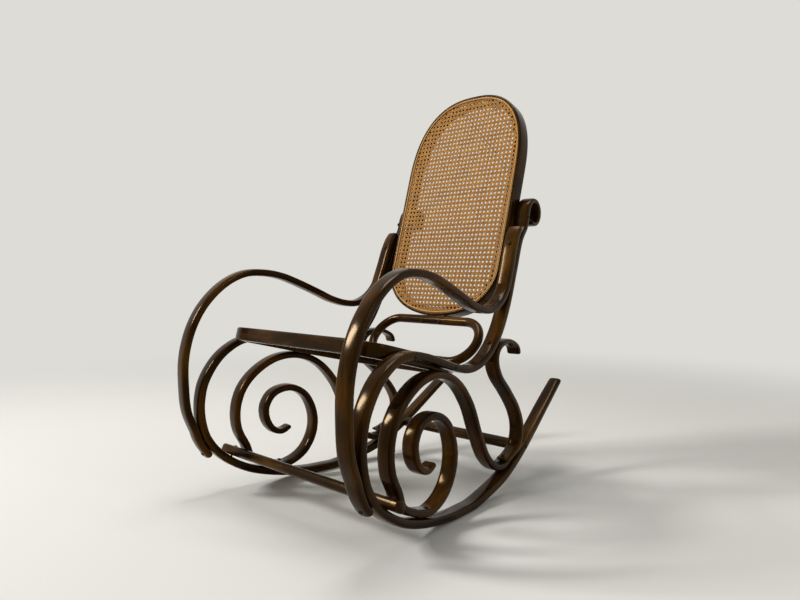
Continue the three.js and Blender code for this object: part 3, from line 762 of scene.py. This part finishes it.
def follow_rails(points):
    """Narrows seat points towards the back, so that the sides follow the rails."""
    half = half_clear(seat_front()[0]) - FIT_GAP
    y = seat_front()[0] + points[:, 1] * SEAT_RUN[0] - points[:, 2] * SEAT_RUN[1]
    out = points.copy()
    out[:, 0] = points[:, 0] * (half_clear(y) - FIT_GAP) / half
    return out


def back_middle():
    """Where the middle of the back's caned face is, seen square to the chair."""
    return square_on(at_shares(BACK_MIDDLE))


def back_half():
    """Half the width of the back frame."""
    rise = at_shares(HOOK_CENTRE)[1] - back_middle()[1]
    rear = back_middle()[0] + rise * math.tan(BACK_TILT) + BACK_FRAME_DEPTH / math.cos(BACK_TILT)
    return half_clear(rear) - FIT_GAP


def arch(height, power, steps=64):
    """Half of a rounded arch, from its right foot to its left one."""
    points = []
    for i in range(steps + 1):
        angle = math.pi * i / steps
        cos, sin = math.cos(angle), max(math.sin(angle), 0.0)
        across = math.copysign(abs(cos) ** (2 / power), cos) * back_half()
        points.append(np.array([across, sin ** (2 / power) * height]))
    return points


def back_outline():
    """The back's outline round the middle of its straight part."""
    above = [p + [0, BACK_ABOVE] for p in arch(BACK_ARCH, ARCH_POWER)]
    below = [-p - [0, BACK_BELOW] for p in arch(BACK_FOOT, FOOT_POWER)]
    return filled(thinned([*above, *below]))


def inset(outline, distance):
    """The outline moved inwards, its corners kept."""
    into = outline - np.roll(outline, 1, axis=0)
    out = np.roll(outline, -1, axis=0) - outline
    into /= np.linalg.norm(into, axis=1)[:, None]
    out /= np.linalg.norm(out, axis=1)[:, None]
    along = into + out
    along /= np.linalg.norm(along, axis=1)[:, None]
    stretch = distance / (along * out).sum(1)
    return outline + np.stack([-along[:, 1], along[:, 0]], axis=1) * stretch[:, None]


def swept(outline, profile):
    """Points, faces and grain of a profile of insets and heights round an outline."""
    rails = [inset(outline, across) for across, _ in profile]
    points = np.array([
        [[rail[i][0], rail[i][1], height] for rail, (_, height) in zip(rails, profile)]
        for i in range(len(outline))
    ])
    steps = np.linalg.norm(np.roll(outline, -1, axis=0) - outline, axis=1)
    run = np.concatenate([[0], np.cumsum(steps)[:-1]])
    grain = np.array([
        [[run[i], across, height] for across, height in profile]
        for i in range(len(outline))
    ]) * MM
    faces = tube_faces(len(outline), len(profile), True)
    return points.reshape(-1, 3), faces, grain.reshape(-1, 3)


def leaning(points, origin, run):
    """Points of a leaning plane in the chair's frame, in metres."""
    along, above = points[:, 1], points[:, 2]
    return np.stack([
        points[:, 0],
        origin[0] + along * run[0] - above * run[1] - CHAIR_MIDDLE,
        origin[1] + along * run[1] + above * run[0] - FLOOR_DROP,
    ], axis=1) * MM


def seat_place(points):
    """Seat points in the chair's frame, in metres."""
    return leaning(points, seat_front(), SEAT_RUN)


def back_place(points):
    """Back points in the chair's frame, in metres."""
    return leaning(points, back_middle(), BACK_RUN)


def rounded(corners, radius, steps=4):
    """A closed profile of (inset, height) corners, each rounded by its share of the radius."""
    result = []
    count = len(corners)
    for i, (point, soft) in enumerate(corners):
        before = np.array(corners[i - 1][0])
        after = np.array(corners[(i + 1) % count][0])
        point = np.array(point)
        reach = radius * soft
        if reach <= 0:
            result.append(tuple(point))
            continue
        start = point + (before - point) / np.linalg.norm(before - point) * reach
        end = point + (after - point) / np.linalg.norm(after - point) * reach
        for k in range(steps + 1):
            t = k / steps
            result.append(tuple((1 - t) ** 2 * start + 2 * t * (1 - t) * point + t * t * end))
    return result


def rim_profile(depth):
    """Section of a caned frame: rounded outside, with a ledge for the cane."""
    return rounded([
        ((0.0, 0.0), 1.0), ((LIP_WIDTH, 0.0), 0.15), ((LIP_WIDTH, -LEDGE_DROP), 0.0),
        ((FRAME_WIDTH, -LEDGE_DROP), 0.2), ((FRAME_WIDTH, -depth), 0.9), ((0.0, -depth), 1.0),
    ], EDGE_ROUND)


def reed_profile(width, crown_points=9):
    """Section of the reed: a flat foot under a round crown."""
    near, far = LIP_WIDTH + FIT_GAP, LIP_WIDTH + width
    foot, base, crown = REED_FOOT - LEDGE_DROP, REED_SHOULDER - LEDGE_DROP, -REED_SINK
    middle, half = (near + far) / 2, (far - near) / 2
    dome = [
        (middle - half * math.cos(a), base + (crown - base) * math.sin(a))
        for a in np.radians(np.linspace(0, 180, crown_points))
    ]
    return [(near, foot), *dome, (far, foot)]


class ROCKER_OT_frames(bpy.types.Operator):
    """Make the seat rim and the back frame with their reed splines"""

    bl_idname = "rocker.frames"
    bl_label = "Seat and back frames"

    def execute(self, context):
        reed = reed_profile(context.scene.rocker_sizes.reed_width / MM)
        seat_rim, back_frame = rim_profile(SEAT_RIM_HEIGHT), rim_profile(BACK_FRAME_DEPTH)
        seat = seat_outline(), lambda p: seat_place(follow_rails(p))
        back = back_outline(), back_place
        for name, node, slot, profile, (outline, place) in (
            ("bent_seat_rim", "seat_rim", "seat_beech", seat_rim, seat),
            ("reed_seat_spline", "seat_spline", "reed", reed, seat),
            ("bent_back_frame", "back_frame", "stained_beech", back_frame, back),
            ("reed_back_spline", "back_spline", "reed", reed, back),
        ):
            points, faces, grain = swept(outline, profile)
            points = place(points)
            new_piece(name, points, outward(points, faces), grain, slot, node)
        return {"FINISHED"}


class ROCKER_OT_loop(bpy.types.Operator):
    """Bend the closed loop between the seat and the back"""

    bl_idname = "rocker.loop"
    bl_label = "Loop under the back"

    def execute(self, context):
        seat_up = np.array([-SEAT_RUN[1], SEAT_RUN[0]])
        back_rearward = np.array([BACK_RUN[1], -BACK_RUN[0]])
        reach = math.sqrt((LOOP_RADIUS + FIT_GAP) ** 2 - (LOOP_RISE + EDGE_ROUND) ** 2)
        low = seat_front() + SEAT_RUN * (SEAT_DEPTH + reach) + seat_up * LOOP_RISE
        high = (back_middle() - BACK_RUN * (BACK_BELOW + BACK_FOOT + LOOP_RADIUS + FIT_GAP)
                + back_rearward * LOOP_SET_BACK)
        rise = np.linalg.norm(high - low)
        straight = back_half() - LOOP_SIDE_INSET - LOOP_RADIUS - rise / 2
        outline = filled(thinned([
            *arc((straight, 0), rise / 2, -90, 90, LOOP_STEPS),
            *arc((-straight, 0), rise / 2, 90, 270, LOOP_STEPS),
        ]))
        round_section = [
            (LOOP_RADIUS * math.cos(a), LOOP_RADIUS * math.sin(a))
            for a in np.linspace(0, 2 * math.pi, LOOP_SIDES, endpoint=False)
        ]
        points, faces, grain = swept(outline, round_section)
        points = leaning(points, (high + low) / 2, (high - low) / rise)
        new_piece(
            "bent_back_loop", points, outward(points, faces), grain,
            "stained_beech", "back_loop",
        )
        return {"FINISHED"}


# A straight bar: its section, its rings, and its rounded ends as millimetres from the end and
# shares of the section
BAR_SQUARENESS, BAR_SIDES, BAR_RINGS = 4.2, 28, 40
BAR_ENDS = ((0.0, 0.90), (1.0, 0.97), (4.0, 1.0))


def bar_axes(points):
    """Directions of a straight bar's width and thickness, and its spans in them."""
    flat = points[:, 1:] - points[:, 1:].mean(0)
    _, _, axes = np.linalg.svd(flat, full_matrices=False)
    spans = [np.ptp(flat @ axis) for axis in axes]
    order = np.argsort(spans)[::-1]
    return [axes[i] for i in order], [spans[i] for i in order]


class ROCKER_OT_stretchers(bpy.types.Operator):
    """Make the two bars that tie the sides together"""

    bl_idname = "rocker.stretchers"
    bl_label = "Stretchers"

    def execute(self, context):
        for node in ("front_stretcher", "rear_stretcher"):
            points = cad_points(node)
            axes, spans = bar_axes(points)
            across, through = section(spans[0] / 2, spans[1] / 2, BAR_SQUARENESS, BAR_SIDES)
            centre = [(points[:, 1:] @ a).min() + s / 2 for a, s in zip(axes, spans)]
            origin = axes[0] * centre[0] + axes[1] * centre[1]
            ends = [(points[:, 0].max() - depth * MM, share) for depth, share in BAR_ENDS]
            inner = ends[-1][0]
            stops = [(-x, share) for x, share in ends]
            stops += [(x, 1.0) for x in np.linspace(-inner, inner, BAR_RINGS)[1:-1]]
            stops += ends[::-1]
            rings, grain = [], []
            for x, share in stops:
                flat = origin + np.outer(across * share, axes[0]) + np.outer(
                    through * share, axes[1])
                rings.append(np.column_stack([np.full(len(across), x), flat]))
                grain.append(np.column_stack([np.full(len(across), x), across, through]))
            points = np.array(rings).reshape(-1, 3)
            faces = tube_faces(len(rings), len(across), False)
            new_piece(
                f"turned_{node}", points, outward(points, faces),
                np.array(grain).reshape(-1, 3), "stained_beech", node,
            )
        return {"FINISHED"}


# Cane, in millimetres: how high a pair stands where it crosses another, how high a diagonal
# stands, the shortest step along a strand, and how far the streaks of two strands may differ
PAIR_RISE, DIAGONAL_RISE = 0.3, 0.45
STRAND_STEP_MIN = 0.05
STREAK_SHIFT = 50

# Middle and spread of the strands' tones, and the seeds of the two sheets
TONE_MIDDLE, TONE_SPREAD = 0.3, 0.11
SEAT_SEED, BACK_SEED = 11, 23


def clipped(outline, origin, direction):
    """The stretch of a line that lies inside a convex outline, or None."""
    after = np.roll(outline, -1, axis=0)
    edge = after - outline
    cross = direction[0] * edge[:, 1] - direction[1] * edge[:, 0]
    offset = outline - origin
    with np.errstate(divide="ignore", invalid="ignore"):
        t = (offset[:, 0] * edge[:, 1] - offset[:, 1] * edge[:, 0]) / cross
        u = (offset[:, 0] * direction[1] - offset[:, 1] * direction[0]) / cross
    hits = t[(u >= 0) & (u < 1) & np.isfinite(t)]
    return (hits.min(), hits.max()) if len(hits) >= 2 else None


class Weave:
    """Collects the strands of one sheet of cane, each flat below and raised in the middle."""

    def __init__(self, outline, thickness, seed):
        self.outline = outline
        self.thickness = thickness
        self.tones = np.random.default_rng(seed)
        self.points, self.faces, self.grain, self.tone = [], [], [], []
        self.count = 0

    def strand(self, origin, direction, width, step, height):
        """One strand on a line, its height given by a function of its place."""
        span = clipped(self.outline, origin, direction)
        if span is None or span[1] - span[0] < 2 * step:
            return
        first, last = math.ceil(span[0] / step), math.floor(span[1] / step)
        reach = np.array([span[0], *(np.arange(first, last + 1) * step), span[1]])
        reach = reach[np.concatenate([[True], np.diff(reach) > STRAND_STEP_MIN])]
        line = origin + np.outer(reach, direction)
        rise = height(line)
        side = np.array([-direction[1], direction[0]]) * width / 2
        lift = self.thickness / 2
        rings = np.stack([
            np.column_stack([line - side, rise - lift]),
            np.column_stack([line + side, rise - lift]),
            np.column_stack([line, rise + lift]),
        ], axis=1)
        start = self.count
        for face in tube_faces(len(line), 3, False):
            self.faces.append(tuple(start + k for k in face))
        self.points.append(rings.reshape(-1, 3))
        shift = self.tones.uniform(0, STREAK_SHIFT)
        across = np.tile([-width / 2, width / 2, 0], len(line))
        run = np.repeat(reach, 3) + shift
        self.grain.append(np.column_stack([run, across, np.full(len(run), shift)]) * MM)
        tone = self.tones.normal(TONE_MIDDLE, TONE_SPREAD)
        self.tone.append(np.full(len(run), tone))
        self.count += len(run)


def weave_sheet(outline, middle, sizes, seed):
    """Six-way cane: pairs upright and level, and one diagonal each way between them."""
    pitch, spread = sizes.cane_pitch / MM, sizes.pair_spread / MM
    straight, diagonal = sizes.strand_width / MM, sizes.diagonal_width / MM
    weave = Weave(outline, sizes.strand_thickness / MM, seed)
    reach = np.abs(outline - middle).max() * 2
    lines = int(reach / pitch) + 1
    step = pitch / 4
    wave = 2 * math.pi / pitch
    rise = PAIR_RISE / math.sin(wave * spread)
    for i in range(-lines, lines + 1):
        for sign, shift in ((1, -spread), (-1, spread)):
            aside = i * pitch + shift
            weave.strand(
                middle + [aside, step / 2], np.array([0.0, 1.0]), straight, step,
                lambda p, s=sign: -s * rise * np.sin(wave * (p[:, 1] - middle[1])),
            )
            weave.strand(
                middle + [step / 2, aside], np.array([1.0, 0.0]), straight, step,
                lambda p, s=sign: s * rise * np.sin(wave * (p[:, 0] - middle[0])),
            )
    slant = math.sqrt(0.5)
    for i in range(-2 * lines, 2 * lines + 1):
        start = middle + [(i + 0.5) * pitch, 0.0]
        for way in (-1, 1):
            weave.strand(
                start, np.array([slant, way * slant]), diagonal, step / slant,
                lambda p, w=way: -w * DIAGONAL_RISE * np.cos(wave * (p[:, 0] - middle[0])),
            )
    return weave


class ROCKER_OT_cane(bpy.types.Operator):
    """Weave the cane of the seat and of the back"""

    bl_idname = "rocker.cane"
    bl_label = "Woven cane"

    def execute(self, context):
        sizes = context.scene.rocker_sizes
        under_reed = LIP_WIDTH + sizes.reed_width / MM / 2
        seat = seat_outline()
        seat = follow_rails(np.column_stack([seat, np.zeros(len(seat))]))[:, :2]
        for prefix, outline, place, seed in (
            ("seat", seat, seat_place, SEAT_SEED),
            ("back", back_outline(), back_place, BACK_SEED),
        ):
            inner = inset(outline, under_reed)
            middle = (inner.min(0) + inner.max(0)) / 2
            weave = weave_sheet(inner, middle, sizes, seed)
            points = np.concatenate(weave.points)
            points[:, 2] += CANE_HEIGHT - LEDGE_DROP
            new_piece(
                f"woven_{prefix}_cane", place(points), weave.faces,
                np.concatenate(weave.grain), "cane", f"{prefix}_cane",
                np.concatenate(weave.tone),
            )
        return {"FINISHED"}


# Screws, in millimetres: the head's round top is drawn at these degrees from its middle, and
# the head is the end that is wider over the length of the probe
SCREW_HEAD_RADIUS = 5.2
SCREW_HEAD_HEIGHT = 2.8
SCREW_HEAD_TURNS = (18, 36, 54, 72, 90)
SCREW_HEAD_PROBE = 4.0
SCREW_RADIUS = 2.2
SCREW_TAPER = 5.0
SCREW_TIP_RADIUS = 0.3
SCREW_SIDES = 28

# The driver's slot, in millimetres, and the degrees from one screw's slot to the next one's
SLOT_LENGTH = 16.0
SLOT_WIDTH = 1.2
SLOT_DEPTH = 1.3
SLOT_TURN = 37


def screw_ends(node):
    """Tip and head top of a CAD screw, from its two furthest points, in metres."""
    points = cad_points(node)
    apart = np.linalg.norm(points[:, None] - points[None], axis=2)
    a, b = np.unravel_index(int(apart.argmax()), apart.shape)
    wide = {}
    for end, other in ((a, b), (b, a)):
        axis = (points[other] - points[end]) / apart[a, b]
        near = (points - points[end]) @ axis < SCREW_HEAD_PROBE * MM
        rel = points[near] - points[end]
        wide[end] = np.linalg.norm(rel - np.outer(rel @ axis, axis), axis=1).max()
    head, tip = (a, b) if wide[a] > wide[b] else (b, a)
    return points[tip], points[head]


def slotted_screw(length):
    """Points and faces of a round-headed screw along +Z, its head's top at zero."""
    head, height = SCREW_HEAD_RADIUS, SCREW_HEAD_HEIGHT
    profile = [
        (head * math.sin(a), -height * (1 - math.cos(a))) for a in np.radians(SCREW_HEAD_TURNS)
    ]
    profile += [
        (head, -height), (SCREW_RADIUS, -height), (SCREW_RADIUS, SCREW_TAPER - length),
        (SCREW_TIP_RADIUS, -length),
    ]
    angles = np.linspace(0, 2 * math.pi, SCREW_SIDES, endpoint=False)
    points = [(r * math.cos(a), r * math.sin(a), z) for r, z in profile for a in angles]
    return np.array(points), tube_faces(len(profile), SCREW_SIDES, False)


def cut_slot(piece, place):
    """Cuts the driver's slot across the head of a screw."""
    size = SLOT_LENGTH * MM, SLOT_WIDTH * MM, 2 * SLOT_DEPTH * MM
    shape = bmesh.new()
    bmesh.ops.create_cube(shape, size=1.0, matrix=Matrix.Diagonal((*size, 1.0)))
    cutter_mesh = bpy.data.meshes.new("slot_cutter")
    shape.to_mesh(cutter_mesh)
    shape.free()
    cutter = bpy.data.objects.new("slot_cutter", cutter_mesh)
    bpy.context.scene.collection.objects.link(cutter)
    cutter.matrix_world = place
    cut = piece.modifiers.new("slot", "BOOLEAN")
    cut.operation, cut.object, cut.solver = "DIFFERENCE", cutter, "EXACT"
    bpy.context.view_layer.update()
    graph = bpy.context.evaluated_depsgraph_get()
    result = bpy.data.meshes.new_from_object(piece.evaluated_get(graph))
    piece.modifiers.clear()
    piece.data = result
    bpy.data.objects.remove(cutter)


class ROCKER_OT_screws(bpy.types.Operator):
    """Put a slotted round-headed screw where each CAD screw is"""

    bl_idname = "rocker.screws"
    bl_label = "Screws"

    def execute(self, context):
        names = sorted(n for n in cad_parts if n.startswith("screw_"))
        for i, node in enumerate(names):
            tip, head = screw_ends(node)
            axis = Vector(head - tip)
            points, faces = slotted_screw(axis.length / MM)
            turn = axis.to_track_quat("Z", "Y") @ Matrix.Rotation(
                math.radians(SLOT_TURN * i), 3, "Z").to_quaternion()
            place = Matrix.Translation(Vector(head)) @ turn.to_matrix().to_4x4()
            placed = np.array([place @ Vector(p * MM) for p in points])
            piece = new_piece(
                f"slotted_{node}", placed, outward(placed, faces), points * MM,
                "bronzed_steel", node,
            )
            cut_slot(piece, place)
        return {"FINISHED"}


# The photograph's view: metres, radians, and the lens in millimetres
CAMERA_PLACE = (1.1705, -1.22291, 0.55625)
CAMERA_AZIMUTH = 0.762649
CAMERA_DROP = 0.045796
CAMERA_ROLL = -0.002043
CAMERA_LENS = 29.73

# The floor is a round plate. Seen directly, it turns into the backdrop between two distances
# from the chair's middle, in metres.
FLOOR_REACH, FLOOR_SIDES = 14.0, 64
FADE_START, FADE_END = 1.1, 3.2

# How strongly the surroundings light the chair, where 1 shows their colour as it is
WORLD_LIGHT = 0.32

# Lamps: name, place, what it faces, width and height in metres, and power in watts
LAMPS = (
    ("key_softbox", (-3.0, -3.4, 3.2), (0, 0, 0.5), (0.9, 1.3), 235),
    ("window_right", (2.7, 0.3, 1.6), (0, 0, 0.4), (0.25, 1.2), 12),
    ("top_softbox", (-0.3, 0.2, 3.2), (0, 0, 0.3), (1.2, 1.2), 38),
)


def seen_directly(tree):
    """One for a ray that shows the surroundings, and zero for one that lights the chair."""
    path = add_node(tree, "ShaderNodeLightPath")
    glossy = add_node(
        tree, "ShaderNodeMath", {"operation": "MAXIMUM"},
        {0: path.outputs["Is Camera Ray"], 1: path.outputs["Is Glossy Ray"]},
    )
    return add_node(
        tree, "ShaderNodeMath", {"operation": "MAXIMUM"},
        {0: glossy.outputs[0], 1: path.outputs["Is Transmission Ray"]},
    ).outputs[0]


def area_light(name, place, target, size, power):
    """A soft rectangular lamp that faces a target."""
    data = bpy.data.lights.new(name, "AREA")
    data.shape = "RECTANGLE"
    data.size, data.size_y = size
    data.energy = power
    lamp = bpy.data.objects.new(name, data)
    bpy.context.scene.collection.objects.link(lamp)
    lamp.location = place
    lamp.rotation_euler = (Vector(target) - Vector(place)).to_track_quat("-Z", "Y").to_euler()


class ROCKER_OT_stage(bpy.types.Operator):
    """Set the floor, the lamps, the world and the camera"""

    bl_idname = "rocker.stage"
    bl_label = "Stage"

    def execute(self, context):
        scene, colours = context.scene, context.scene.rocker_colours
        scene.view_settings.view_transform = "Standard"
        self.lay_floor(colours)
        self.light_world(scene, colours)
        for lamp in LAMPS:
            area_light(*lamp)
        self.place_camera(scene)
        return {"FINISHED"}

    def lay_floor(self, colours):
        material, tree = new_material("floor_plain_pale")
        near = add_node(
            tree, "ShaderNodeBsdfPrincipled",
            {"Base Color": colours.floor, "Roughness": 0.75},
        )
        far = add_node(tree, "ShaderNodeEmission", {"Color": colours.backdrop})
        place = add_node(tree, "ShaderNodeNewGeometry")
        away = add_node(
            tree, "ShaderNodeVectorMath", {"operation": "LENGTH"},
            {0: place.outputs["Position"]},
        )
        fade = add_node(
            tree, "ShaderNodeMapRange",
            {"interpolation_type": "SMOOTHSTEP", "From Min": FADE_START, "From Max": FADE_END},
            {"Value": away.outputs["Value"]},
        )
        share = add_node(
            tree, "ShaderNodeMath", {"operation": "MULTIPLY"},
            {0: fade.outputs["Result"], 1: seen_directly(tree)},
        )
        shader = add_node(
            tree, "ShaderNodeMixShader",
            links={0: share.outputs[0], 1: near.outputs[0], 2: far.outputs[0]},
        )
        add_node(tree, "ShaderNodeOutputMaterial", links={"Surface": shader.outputs[0]})
        angles = [2 * math.pi * i / FLOOR_SIDES for i in range(FLOOR_SIDES)]
        rim = [(FLOOR_REACH * math.cos(a), FLOOR_REACH * math.sin(a), 0) for a in angles]
        mesh = bpy.data.meshes.new("floor")
        mesh.from_pydata(rim, [], [tuple(range(FLOOR_SIDES))])
        mesh.materials.append(material)
        floor = bpy.data.objects.new("floor", mesh)
        bpy.context.scene.collection.objects.link(floor)

    def light_world(self, scene, colours):
        world = bpy.data.worlds.new("studio")
        scene.world = world
        world.use_nodes = True
        tree = world.node_tree
        tree.nodes.clear()
        light = add_node(
            tree, "ShaderNodeBackground", {"Color": colours.backdrop, "Strength": WORLD_LIGHT})
        seen = add_node(
            tree, "ShaderNodeBackground", {"Color": colours.backdrop, "Strength": 1.0})
        mix = add_node(
            tree, "ShaderNodeMixShader",
            links={0: seen_directly(tree), 1: light.outputs[0], 2: seen.outputs[0]},
        )
        add_node(tree, "ShaderNodeOutputWorld", links={"Surface": mix.outputs[0]})

    def place_camera(self, scene):
        data = bpy.data.cameras.new("photo_view")
        data.lens, data.sensor_width = CAMERA_LENS, 36.0
        data.clip_start, data.clip_end = 0.05, 60.0
        camera = bpy.data.objects.new("photo_view", data)
        scene.collection.objects.link(camera)
        cos, sin = math.cos(CAMERA_AZIMUTH), math.sin(CAMERA_AZIMUTH)
        level = Vector((cos, sin, 0))
        forward = Vector((
            -sin * math.cos(CAMERA_DROP), cos * math.cos(CAMERA_DROP), -math.sin(CAMERA_DROP),
        ))
        upright = level.cross(forward)
        turn = Matrix((level, upright, -forward)).transposed().to_4x4()
        camera.matrix_world = (
            Matrix.Translation(CAMERA_PLACE) @ turn @ Matrix.Rotation(CAMERA_ROLL, 4, "Z"))
        scene.camera = camera


OPERATORS = (
    ROCKER_OT_stage, ROCKER_OT_bent_rods, ROCKER_OT_frames, ROCKER_OT_loop,
    ROCKER_OT_stretchers, ROCKER_OT_cane, ROCKER_OT_screws,
)


class ROCKER_PT_sidebar(bpy.types.Panel):
    """The rocking chair's settings and pieces"""

    bl_idname = "ROCKER_PT_sidebar"
    bl_label = "Rocking chair"
    bl_space_type = "VIEW_3D"
    bl_region_type = "UI"
    bl_category = "Rocker"

    def draw(self, context):
        layout = self.layout
        for group in (context.scene.rocker_sizes, context.scene.rocker_colours):
            box = layout.box()
            for key in group.__annotations__:
                box.prop(group, key)
        for operator in OPERATORS:
            layout.operator(operator.bl_idname)


CLASSES = (RockerSizes, RockerColours, *OPERATORS, ROCKER_PT_sidebar)


def register():
    """Registers the classes and the scene's settings."""
    for cls in CLASSES:
        bpy.utils.register_class(cls)
    bpy.types.Scene.rocker_sizes = bpy.props.PointerProperty(type=RockerSizes)
    bpy.types.Scene.rocker_colours = bpy.props.PointerProperty(type=RockerColours)


def unregister():
    """Removes them again."""
    del bpy.types.Scene.rocker_colours
    del bpy.types.Scene.rocker_sizes
    for cls in reversed(CLASSES):
        bpy.utils.unregister_class(cls)


def main():
    """Builds the whole chair and its stage."""
    register()
    bpy.ops.rocker.stage()
    bpy.ops.rocker.bent_rods()
    bpy.ops.rocker.frames()
    bpy.ops.rocker.loop()
    bpy.ops.rocker.stretchers()
    bpy.ops.rocker.cane()
    bpy.ops.rocker.screws()


if __name__ == "__main__":
    main()
